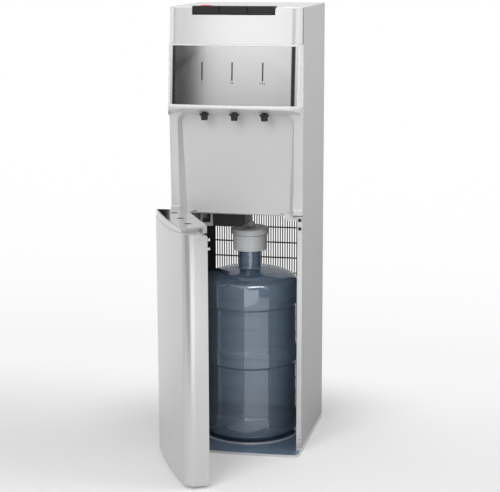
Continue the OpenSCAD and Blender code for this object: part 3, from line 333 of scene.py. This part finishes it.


# Base moulding: silver round the outside, a glossy floor inside the bead whose dark blue colour is
# painted shade and a painted reflection of the blue bottle
def makeBasePaintAndShade(s):
    material, tree, shader = newMaterial("basePaintAndShade", {"Metallic": 0.3})
    level = within(tree, placeAxes(tree)["Z"], s["floor"] - s["play"], s["floor"] + s["play"])
    upward = mathOut(tree, "GREATER_THAN", normalAxes(tree)["Z"], 0.9)
    inside = mathOut(tree, "MULTIPLY", level, upward)
    silver = satinBase(tree, (*s["rimColour"], 1), 0.05, 0.1)
    fillInputs(tree, shader, {"Base Color": mixColour(tree, inside, silver, (*s["colour"], 1))})
    roughness = mathOut(tree, "MULTIPLY_ADD", inside, s["floorRoughness"] - s["rimRoughness"],
                        s["rimRoughness"])
    satinSkin(tree, shader, roughness, 0.05, 0.05, 900)
    return material


brushedSettings = {"tone": 0.08, "spread": 0.06}


# Long fine scratches along one axis; the last argument gives a lower and an upper height and the tone
# below them, painted shade that darkens the metal towards the bottom
def makeBrushed(name, colour, roughness, scale, anisotropic, depth, shadeBelow=None):
    material, tree, shader = newMaterial(name, {"Metallic": 1.0, "Anisotropic": anisotropic})
    lines = stretchedPlace(tree, scale)
    base = (*colour, 1)
    if shadeBelow:
        low, high, dark = shadeBelow
        height = addNode(tree, "ShaderNodeMapRange", {
            "Value": placeAxes(tree)["Z"], "From Min": low, "From Max": high})
        darker = tuple(dark * channel for channel in colour)
        base = mixColour(tree, height.outputs["Result"], (*darker, 1), base)
    toned = useGroup(tree, unevenTone, {
        "Place": lines, "Colour": base, "Scale": 1.0, "Amount": brushedSettings["tone"]})
    gloss = useGroup(tree, unevenGloss, {
        "Place": lines, "Roughness": roughness, "Scale": 1.0, "Spread": brushedSettings["spread"]})
    skin = useGroup(tree, fineGrain, {"Place": lines, "Scale": 1.0, "Depth": depth})
    fillInputs(tree, shader, {
        "Base Color": toned.outputs["Colour"], "Roughness": gloss.outputs["Roughness"],
        "Normal": skin.outputs["Normal"]})
    return material


clearSettings = {"toneScale": 14.0, "tone": 0.06, "glossScale": 30.0, "spread": 0.03, "skinScale": 45.0}


# Clear moulded plastic with faint flow marks; where an edge colour is given, the surface takes it where
# it is seen edge on, a painted reflection of dark surroundings
def makeClear(name, colour, roughness, ior, waviness=0.05, clearness=1.0, edgeOnShade=None):
    s = clearSettings
    material, tree, shader = newMaterial(name, {
        "Transmission Weight": clearness, "IOR": ior, "Metallic": 0.0})
    place = objectPlace(tree)
    toned = useGroup(tree, unevenTone, {
        "Place": place, "Colour": (*colour, 1), "Scale": s["toneScale"], "Amount": s["tone"]})
    gloss = useGroup(tree, unevenGloss, {
        "Place": place, "Roughness": roughness, "Scale": s["glossScale"], "Spread": s["spread"]})
    skin = useGroup(tree, fineGrain, {"Place": place, "Scale": s["skinScale"], "Depth": waviness})
    base = toned.outputs["Colour"]
    if edgeOnShade:
        slant = addNode(tree, "ShaderNodeLayerWeight", {"Blend": 0.5})
        base = mixColour(tree, slant.outputs["Facing"], base, (*edgeOnShade, 1))
    fillInputs(tree, shader, {
        "Base Color": base, "Roughness": gloss.outputs["Roughness"], "Normal": skin.outputs["Normal"]})
    return material


foamSettings = {"beadScale": 220.0, "seam": 0.12, "seamDepth": 0.0005, "seamStrength": 0.5,
                "seamColour": (0.62, 0.62, 0.6), "colour": (0.86, 0.86, 0.84), "roughness": 0.85}


# Expanded foam: pressed beads with darker seams between them
def makeFoam(s):
    material, tree, shader = newMaterial("beadFoam", {"Roughness": s["roughness"]})
    beads = addNode(tree, "ShaderNodeTexVoronoi", {"Vector": objectPlace(tree), "Scale": s["beadScale"]},
                    feature="DISTANCE_TO_EDGE")
    seam = addNode(tree, "ShaderNodeMapRange", {
        "Value": beads.outputs["Distance"], "From Min": 0.0, "From Max": s["seam"]})
    bump = addNode(tree, "ShaderNodeBump", {
        "Strength": s["seamStrength"], "Distance": s["seamDepth"], "Height": seam.outputs["Result"]})
    base = mixColour(tree, seam.outputs["Result"], (*s["seamColour"], 1), (*s["colour"], 1))
    fillInputs(tree, shader, {"Base Color": base, "Normal": bump.outputs["Normal"]})
    return material


boardSettings = {"scale": 90.0, "track": 0.03, "trackColour": (0.10, 0.32, 0.12),
                 "colours": ((0.02, 0.14, 0.05), (0.025, 0.17, 0.06)), "roughness": 0.4}


# Circuit board: green mask with paler copper tracks under it
def makeBoard(s):
    material, tree, shader = newMaterial("boardGreen", {"Roughness": s["roughness"]})
    first, second = s["colours"]
    tracks = addNode(tree, "ShaderNodeTexBrick", {
        "Vector": objectPlace(tree), "Scale": s["scale"], "Mortar Size": s["track"],
        "Color1": (*first, 1), "Color2": (*second, 1), "Mortar": (*s["trackColour"], 1)})
    fillInputs(tree, shader, {"Base Color": tracks.outputs["Color"]})
    skin = useGroup(tree, fineGrain, {"Place": objectPlace(tree), "Scale": 700.0, "Depth": 0.1})
    fillInputs(tree, shader, {"Normal": skin.outputs["Normal"]})
    return material


# The near-black pocket colour behind the buttons is painted shade
fasciaSettings = {"colour": (0.78, 0.78, 0.785), "roughness": 0.24,
                  "pocketShadeColour": (0.006, 0.006, 0.006), "pocketShadeHalf": 0.0955, "pocketShadeFoot": 1.0285,
                  "pocketShadeTop": 1.06}
# The cabinet paint's darkening towards the floor is painted shade
cabinetSettings = {"colour": (0.48, 0.48, 0.485), "footShade": 0.66, "shadeTop": 0.95, "roughness": 0.42}
# The bay floor's dark blue colour is painted shade and a painted reflection of the bottle
baseSettings = {"floor": 0.005, "play": 0.0004, "colour": (0.18, 0.25, 0.34), "floorRoughness": 0.16,
                "rimColour": (0.60, 0.60, 0.605), "rimRoughness": 0.33}

finishes = {
    "fasciaPaintAndShade": makeFasciaPaintAndShade(fasciaSettings),
    "basePaintAndShade": makeBasePaintAndShade(baseSettings),
    "satinSilver": makeSatin("satinSilver", (0.58, 0.58, 0.585), 0.26, metallic=0.5, grain=0.02,
                             tone=0.02, edge=0.02, spread=0.03),
    # A darker copy of the silver shell finish: painted shade on the door liner
    "shadedLinerSilver": makeSatin("shadedLinerSilver", (0.37, 0.37, 0.375), 0.3, metallic=0.1, grain=0.03,
                             tone=0.02),
    "nicheSilver": makeSatin("nicheSilver", (0.62, 0.62, 0.625), 0.42, metallic=0.2),
    "pearlWhite": makeSatin("pearlWhite", (0.80, 0.80, 0.805), 0.27, metallic=0.1, grain=0.03, tone=0.03,
                            edge=0.015),
    "cabinetPaintAndShade": makeCabinetPaintAndShade(cabinetSettings),
    # The steel panel's darkening towards its foot is painted shade
    "brushedSteelAndShade": makeBrushed("brushedSteelAndShade", (0.75, 0.75, 0.755), 0.16, (12, 40, 2200), 0.4, 0.03,
                                shadeBelow=(0.828, 0.960, 0.66)),
    "polishedSteel": makeBrushed("polishedSteel", (0.90, 0.90, 0.905), 0.08, (60, 700, 60), 0.0, 0.002),
    "zincSteel": makeSatin("zincSteel", (0.55, 0.55, 0.56), 0.38, metallic=0.9, tone=0.25),
    "darkMetal": makeSatin("darkMetal", (0.035, 0.036, 0.04), 0.45, metallic=0.2),
    "blackPlastic": makeSatin("blackPlastic", (0.02, 0.02, 0.021), 0.42, grain=0.2, grainScale=700),
    "buttonBlack": makeSatin("buttonBlack", (0.018, 0.018, 0.0185), 0.5, grain=0.05, edge=0.4,
                             extra={"Specular IOR Level": 0.35}),
    "lockRed": makeSatin("lockRed", (0.62, 0.02, 0.03), 0.3, grain=0.03),
    "lensDark": makeSatin("lensDark", (0.03, 0.03, 0.032), 0.12, grain=0.02),
    "rubber": makeSatin("rubber", (0.018, 0.018, 0.018), 0.7, grain=0.3, grainScale=600),
    "probePlastic": makeSatin("probePlastic", (0.74, 0.745, 0.76), 0.4, grain=0.06),
    "clearTube": makeClear("clearTube", (0.93, 0.95, 0.97), 0.05, 1.3, waviness=0.0),
    "silicone": makeSatin("silicone", (0.55, 0.56, 0.58), 0.45, grain=0.04,
                          extra={"Subsurface Weight": 0.3, "Subsurface Scale": 0.004}),
    # The bottle's deep blue edges are a painted reflection of the dark bay walls
    "bottleBlue": makeClear("bottleBlue", (0.47, 0.58, 0.70), 0.03, 1.8, waviness=0.002, clearness=0.75,
                            edgeOnShade=(0.02, 0.075, 0.17)),
    "inkGrey": makeSatin("inkGrey", (0.05, 0.05, 0.05), 0.5, grain=0.1),
    "innerWhite": makeSatin("innerWhite", (0.75, 0.75, 0.73), 0.5, grain=0.15, grainScale=500),
    "beadFoam": makeFoam(foamSettings),
    "boardGreen": makeBoard(boardSettings),
}
print("finishes made:", len(finishes))


# Small helpers for pieces

def activate(piece):
    bpy.ops.object.select_all(action="DESELECT")
    piece.select_set(True)
    bpy.context.view_layer.objects.active = piece


def applyModifiers(piece):
    activate(piece)
    for modifier in list(piece.modifiers):
        bpy.ops.object.modifier_apply(modifier=modifier.name)


bevelAngle = math.radians(32)


def addBevel(piece, width, segments=2):
    bevel = piece.modifiers.new("edges", "BEVEL")
    bevel.width = width
    bevel.segments = segments
    bevel.limit_method = "ANGLE"
    bevel.angle_limit = bevelAngle
    bevel.use_clamp_overlap = False
    bevel.harden_normals = False


def dressPiece(piece, body, finish, replaced=()):
    piece.data.materials.clear()
    piece.data.materials.append(finishes[finish])
    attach(piece, body)
    if replaced:
        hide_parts(*replaced)


refineSettings = {"weld": 0.02, "flat": 0.3, "smooth": 40, "weight": 100}


# A welded copy of a CAD node with its sharp edges rounded, shaded smooth up to an angle
def refineNode(nodeName, finish, edge):
    s = refineSettings
    source = cadNodes[nodeName]
    piece = bpy.data.objects.new(nodeName + "_finished", source.data.copy())
    bpy.context.scene.collection.objects.link(piece)
    activate(piece)
    bpy.ops.mesh.customdata_custom_splitnormals_clear()
    bpy.ops.object.mode_set(mode="EDIT")
    bpy.ops.mesh.select_all(action="SELECT")
    bpy.ops.mesh.remove_doubles(threshold=s["weld"] * mm)
    bpy.ops.mesh.dissolve_limited(angle_limit=math.radians(s["flat"]))
    bpy.ops.object.mode_set(mode="OBJECT")
    if edge:
        addBevel(piece, edge * mm)
        applyModifiers(piece)
    bpy.ops.object.shade_smooth_by_angle(angle=math.radians(s["smooth"]))
    weighted = piece.modifiers.new("normals", "WEIGHTED_NORMAL")
    weighted.keep_sharp = True
    weighted.weight = s["weight"]
    applyModifiers(piece)
    dressPiece(piece, source["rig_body"], finish, (nodeName,))
    return piece


# Turns a profile of (radius, height) points about the vertical axis through centre
def turnProfile(pieceName, centre, profile, steps):
    radius, height = profile[0]
    bpy.ops.mesh.primitive_circle_add(
        vertices=steps, radius=radius, fill_type="NGON", location=(centre[0], centre[1], height))
    piece = bpy.context.object
    piece.name = pieceName
    bpy.ops.object.transform_apply(location=True)
    bpy.ops.object.mode_set(mode="EDIT")
    bpy.ops.mesh.select_all(action="SELECT")
    bpy.ops.mesh.select_mode(type="EDGE")
    bpy.ops.mesh.region_to_loop()
    for nextRadius, nextHeight in profile[1:]:
        bpy.ops.mesh.extrude_edges_move(
            TRANSFORM_OT_translate={"value": (0, 0, nextHeight - height)})
        scale = nextRadius / radius
        bpy.ops.transform.resize(value=(scale, scale, 1),
                                 center_override=(centre[0], centre[1], nextHeight))
        radius, height = nextRadius, nextHeight
    bpy.ops.mesh.select_mode(type="FACE")
    bpy.ops.mesh.select_all(action="SELECT")
    bpy.ops.mesh.normals_make_consistent(inside=False)
    bpy.ops.object.mode_set(mode="OBJECT")
    return piece


nearlyStraight = math.radians(88)


# Replaces each corner of a profile by an arc: corners are (radius, height, fillet)
def roundProfile(corners, steps=5):
    points = [corners[0][:2]]
    for i in range(1, len(corners) - 1):
        corner = Vector(corners[i][:2])
        before = Vector(corners[i - 1][:2]) - corner
        after = Vector(corners[i + 1][:2]) - corner
        fillet = corners[i][2]
        half = before.angle(after) / 2
        if not fillet or half > nearlyStraight:
            points.append(tuple(corner))
            continue
        reach = min(fillet / math.tan(half), before.length / 2, after.length / 2)
        start = corner + before.normalized() * reach
        end = corner + after.normalized() * reach
        for step in range(steps + 1):
            t = step / steps
            points.append(tuple((1 - t) ** 2 * start + 2 * t * (1 - t) * corner + t ** 2 * end))
    points.append(corners[-1][:2])
    return points


# Bottle: a blown shell with two drawn-in bands, a domed shoulder and a plain neck
bottleSettings = {
    "wall": 1.5,
    "foot": 14,                          # rounding at the foot
    "footFillets": (6, 12),
    "underside": 24,                     # width of the flat ring it stands on
    "bands": ((62, 180), (226, 323)),    # drawn-in bands, heights above the bottle's foot
    "bandDepth": 4,
    "bandStep": 6,                       # height of the slope into a band
    "bandFillet": 3,
    "shoulder": 380,
    "shoulderFillet": 12,
    "domeRise": 30,
    "neckRadius": 27,
    "neckFlare": 6,
    "neckFillet": 8,
    "lipHeight": 6,
    "lipProud": 2,
    "domeStep": 9,                       # degrees between two rings of the dome
    "domePower": (1.2, 1.1),             # how square the dome's outline is, across and up
    "steps": 128,
    "smooth": 50,                        # degrees up to which faces shade smooth
}


def makeBottle(s):
    low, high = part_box("bottle")
    centre = (low + high) / 2
    outer = (high.x - low.x) / 2 / mm
    foot = low.z / mm
    top = high.z / mm
    corners = [(outer - s["foot"] - s["underside"], foot, 0),
               (outer - s["foot"], foot, s["footFillets"][0]),
               (outer, foot + s["foot"], s["footFillets"][1])]
    for start, end in s["bands"]:
        inner = outer - s["bandDepth"]
        corners += [(outer, foot + start - s["bandStep"], s["bandFillet"]),
                    (inner, foot + start, s["bandFillet"]), (inner, foot + end, s["bandFillet"]),
                    (outer, foot + end + s["bandStep"], s["bandFillet"])]
    corners.append((outer, foot + s["shoulder"], s["shoulderFillet"]))
    across, up = s["domePower"]
    domeFoot = s["neckRadius"] + s["neckFlare"]
    for angle in range(s["domeStep"], 90, s["domeStep"]):
        bend = math.radians(angle)
        radius = domeFoot + (outer - domeFoot) * math.cos(bend) ** across
        corners.append((radius, foot + s["shoulder"] + s["domeRise"] * math.sin(bend) ** up, 0))
    corners += [(s["neckRadius"], foot + s["shoulder"] + s["domeRise"], s["neckFillet"]),
                (s["neckRadius"], top - s["lipHeight"], 0),
                (s["neckRadius"] + s["lipProud"], top - s["lipHeight"] + 1, 1),
                (s["neckRadius"] + s["lipProud"], top, 0)]
    profile = [(radius * mm, height * mm) for radius, height in roundProfile(corners)]
    piece = turnProfile("bottleShell", centre, profile, steps=s["steps"])
    shell = piece.modifiers.new("wall", "SOLIDIFY")
    shell.thickness = s["wall"] * mm
    shell.offset = -1
    applyModifiers(piece)
    bpy.ops.object.shade_smooth_by_angle(angle=math.radians(s["smooth"]))
    dressPiece(piece, "cabinet", "bottleBlue", ("bottle",))
    return piece


makeBottle(bottleSettings)
print("bottle made")


# Refined copies of the CAD nodes
# Each row: finish, record slot, rounded edge in mm
refined = {
    "base_tray": ("basePaintAndShade", "shell_silver", 0.2),
    "left_side_panel": ("cabinetPaintAndShade", "cabinet_paint", 0.4),
    "right_side_panel": ("cabinetPaintAndShade", "cabinet_paint", 0.4),
    "top_cover": ("satinSilver", "shell_silver", 0.4),
    "lower_front_frame": ("satinSilver", "shell_silver", 0.14),
    "niche_shell": ("nicheSilver", "shell_silver", 0.12),
    "control_bezel": ("pearlWhite", "shell_white", 0.8),
    "steel_panel": ("brushedSteelAndShade", "brushed_panel", 0.15),
    "indicator_lenses": ("lensDark", "black_plastic", 0.2),
    "fascia": ("fasciaPaintAndShade", "shell_white", 1.0),
    "button_hot": ("buttonBlack", "button_black", 0.4),
    "button_room": ("buttonBlack", "button_black", 0.4),
    "button_cold": ("buttonBlack", "button_black", 0.4),
    "child_lock": ("lockRed", "lock_red", 0.2),
    "nozzle_hot": ("blackPlastic", "black_plastic", 0.14),
    "nozzle_room": ("blackPlastic", "black_plastic", 0.14),
    "nozzle_cold": ("blackPlastic", "black_plastic", 0.14),
    "upper_hinge_bracket": ("zincSteel", "bare_steel", 0.3),
    "lower_hinge_bracket": ("zincSteel", "bare_steel", 0.3),
    "door_skin": ("satinSilver", "shell_silver", 0.3),
    "door_liner": ("shadedLinerSilver", "shell_silver", 0.5),
    "door_cap_top": ("satinSilver", "shell_silver", 0.4),
    "door_cap_bottom": ("satinSilver", "shell_silver", 0.8),
    "catch_studs": ("probePlastic", "probe_plastic", 0.3),
    "drip_tray": ("satinSilver", "shell_silver", 0.2),
    "drip_grid": ("polishedSteel", "grid_steel", 0.3),
    "probe_collar": ("probePlastic", "probe_plastic", 0.45),
    "probe_cap": ("probePlastic", "probe_plastic", 0.8),
    "probe_boot": ("probePlastic", "probe_plastic", 0.6),
    "supply_hose": ("silicone", "hose_silicone", 0),
    "hose_grommet": ("rubber", "soft_rubber", 0.4),
    "pump_housing": ("blackPlastic", "black_plastic", 0.8),
    "pump_bracket": ("cabinetPaintAndShade", "cabinet_paint", 0.3),
    "rear_cover": ("cabinetPaintAndShade", "cabinet_paint", 0.3),
    "rear_screws": ("zincSteel", "bare_steel", 0.2),
    "condenser_tube": ("darkMetal", "dark_metal", 0),
    "condenser_clips": ("blackPlastic", "black_plastic", 0.4),
    "drain_and_inlet": ("blackPlastic", "black_plastic", 0.24),
}

for nodeName, (finish, slotName, edge) in refined.items():
    refineNode(nodeName, finish, edge)
print("nodes refined:", len(refined))


# Nodes that keep their CAD shape
kept = {
    "darkMetal": ("back_guard", "condenser_wires", "compressor"),
    "rubber": ("base_pads", "compressor_mounts"),
    "blackPlastic": ("catch_block", "dispense_valves"),
    "zincSteel": ("machine_deck", "cold_tank", "hot_tank", "water_pump"),
    "boardGreen": ("display_board", "switch_board"),
    "silicone": ("water_lines",),
    "clearTube": ("dip_tube",),
    "beadFoam": ("cold_tank_jacket",),
    "innerWhite": ("control_box",),
}

for finish, names in kept.items():
    for nodeName in names:
        cadNodes[nodeName].data.materials.clear()
        cadNodes[nodeName].data.materials.append(finishes[finish])


# Coil springs under the buttons: refined copies, each with a mesh of its own; they keep their CAD length
springSettings = {"travel": 3.5, "presses": {
    "spring_hot": "hot_press", "spring_room": "room_press", "spring_cold": "cold_press"}}


def makeSprings(s):
    for nodeName, press in s["presses"].items():
        piece = refineNode(nodeName, "zincSteel", 0)
        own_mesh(piece)


makeSprings(springSettings)
print("springs made")


# Marks printed below the three slots: one, two and three strokes
markSettings = {
    "centres": (-0.070, 0.0, 0.070),
    "top": 0.880,
    "height": 0.005,
    "width": 0.0016,
    "pitch": 0.0042,
    "raised": 0.00025,
    "edge": 0.1,
}


def makeMarks(s):
    panel = next(piece for piece in bpy.data.objects if piece.name == "steel_panel_finished")
    bars = []
    for count, middle in enumerate(s["centres"], start=1):
        for bar in range(count):
            x = middle + (bar - (count - 1) / 2) * s["pitch"]
            z = s["top"] - s["height"] / 2
            hit, place, normal, _ = panel.ray_cast(Vector((x, -1, z)), Vector((0, 1, 0)))
            bpy.ops.mesh.primitive_cube_add(size=1, location=place)
            stroke = bpy.context.object
            stroke.scale = (s["width"], 2 * s["raised"], s["height"])
            stroke.rotation_euler = (math.asin(normal.z), 0, 0)
            bars.append(stroke)
    bpy.ops.object.select_all(action="DESELECT")
    for stroke in bars:
        stroke.select_set(True)
    bpy.context.view_layer.objects.active = bars[0]
    bpy.ops.object.join()
    marks = bpy.context.object
    marks.name = "slotMarks"
    bpy.ops.object.transform_apply(location=True, rotation=True, scale=True)
    addBevel(marks, s["edge"] * mm, 1)
    applyModifiers(marks)
    dressPiece(marks, "cabinet", "inkGrey")


makeMarks(markSettings)
print("marks made")


# Floor, light from around, and reflection cards

stageSettings = {
    "floorSize": 30,
    "floorTone": 0.92,
    "worldLight": 0.38,
    "fadeStart": -0.45,           # the floor turns to plain white between these two depths
    "fadeEnd": 0.6,
    "fadeLeast": 0.12,
    "shadeReach": (0.15, 0.55),   # and keeps its shade within this reach of the middle
    # Painted shade: the white floor is dimmed towards the front
    "duskMost": 0.07,             # most that the white floor loses towards the front
    "duskSpan": (0.22, 0.257),    # its loss at the middle, and the part left of it a metre behind
    # Cards that only glossy surfaces see: place, point it faces, width, height, brightness
    "cards": {
        "leftCard": ((-2.05, -2.35, 1.3), (0, -0.17, 1.3), 2.4, 3.4, 0.05),
        "rightCard": ((1.40, -2.85, 1.3), (0, -0.17, 1.3), 2.4, 3.4, 0.05),
        "rearCard": ((-0.96, 2.2, 1.1), (-0.96, 0, 1.1), 0.3, 1.1, 0.01),
        "lowLeftCard": ((-0.82, -1.35, 0.19), (-0.82, 0, 0.19), 1.36, 0.38, 0.01),
        "lowRightCard": ((1.25, -1.0, 0.19), (0, 0, 0.19), 1.1, 0.38, 0.01),
        "lowFrontCard": ((0.33, -1.3, 0.19), (0.33, 0, 0.19), 0.9, 0.38, 2.0),
        "overheadCard": ((0.75, -0.99, 2.4), (0, -0.1, 0.3), 1.5, 0.6, 13.0),
    },
}


def seenPlainly(tree):
    path = tree.nodes.new("ShaderNodeLightPath")
    first = mathOut(tree, "MAXIMUM", path.outputs["Is Camera Ray"], path.outputs["Is Glossy Ray"])
    return mathOut(tree, "MAXIMUM", first, path.outputs["Is Transmission Ray"])


# Gives a piece of the stage its own empty material and returns that material's nodes
def stagePaper(piece, name):
    material = bpy.data.materials.new(name)
    material.use_nodes = True
    material.node_tree.nodes.clear()
    piece.data.materials.append(material)
    return material.node_tree


def showOnly(tree, shader):
    output = tree.nodes.new("ShaderNodeOutputMaterial")
    tree.links.new(shader.outputs[0], output.inputs["Surface"])


def makeFloor(s):
    bpy.ops.mesh.primitive_plane_add(size=s["floorSize"], location=(0, 0, 0))
    floor = bpy.context.object
    floor.name = "floor"
    tree = stagePaper(floor, "floorPaper")
    behind = addNode(tree, "ShaderNodeMapRange", {
        "Value": placeAxes(tree)["Y"], "From Min": s["fadeStart"], "From Max": s["fadeEnd"]},
        interpolation_type="SMOOTHSTEP")
    reach = addNode(tree, "ShaderNodeVectorMath", {0: objectPlace(tree)}, operation="LENGTH")
    away = addNode(tree, "ShaderNodeMapRange", {
        "Value": reach.outputs["Value"], "From Min": s["shadeReach"][0], "From Max": s["shadeReach"][1],
        "To Min": s["fadeLeast"], "To Max": 1.0}, interpolation_type="SMOOTHSTEP")
    fading = mathOut(tree, "MULTIPLY", behind.outputs["Result"], away.outputs["Result"])
    far = mathOut(tree, "MAXIMUM", fading, s["fadeLeast"])
    plain = mathOut(tree, "MULTIPLY", far, seenPlainly(tree))
    paper = addNode(tree, "ShaderNodeBsdfDiffuse", {"Color": (s["floorTone"],) * 3 + (1,)})
    # Painted shade that dims the white floor towards the front
    start, ratio = s["duskSpan"]
    dusk = mathOut(tree, "MULTIPLY", mathOut(tree, "POWER", ratio, placeAxes(tree)["Y"]), start)
    bright = mathOut(tree, "SUBTRACT", 1.0, mathOut(tree, "MINIMUM", dusk, s["duskMost"]))
    white = addNode(tree, "ShaderNodeEmission", {"Color": (1, 1, 1, 1), "Strength": bright})
    mixed = addNode(tree, "ShaderNodeMixShader", {0: plain, 1: paper.outputs[0], 2: white.outputs[0]})
    showOnly(tree, mixed)


def makeCards(s):
    for name, (place, target, width, height, brightness) in s["cards"].items():
        bpy.ops.mesh.primitive_plane_add(size=1, location=place)
        card = bpy.context.object
        card.name = name
        card.scale = (width, height, 1)
        aim = Vector(target) - Vector(place)
        card.rotation_euler = aim.to_track_quat("Z", "Y").to_euler()
        tree = stagePaper(card, name + "Paper")
        showOnly(tree, addNode(tree, "ShaderNodeEmission", {"Strength": brightness}))
        card.visible_camera = False
        card.visible_diffuse = False
        card.visible_shadow = False
        card.visible_transmission = False


def makeWorld(s):
    world = bpy.data.worlds.new("studio")
    bpy.context.scene.world = world
    world.use_nodes = True
    tree = world.node_tree
    tree.nodes.clear()
    strength = addNode(tree, "ShaderNodeMix", {0: seenPlainly(tree), 2: s["worldLight"], 3: 1.0},
                       data_type="FLOAT")
    background = addNode(tree, "ShaderNodeBackground", {
        "Color": (1, 1, 1, 1), "Strength": strength.outputs[0]})
    output = tree.nodes.new("ShaderNodeOutputWorld")
    tree.links.new(background.outputs[0], output.inputs["Surface"])


addCamera(cameraSettings)
addLamps(lampSettings)
makeFloor(stageSettings)
makeCards(stageSettings)
makeWorld(stageSettings)
bpy.ops.object.select_all(action="DESELECT")
bpy.context.scene.view_settings.view_transform = "Standard"
print("stage made")
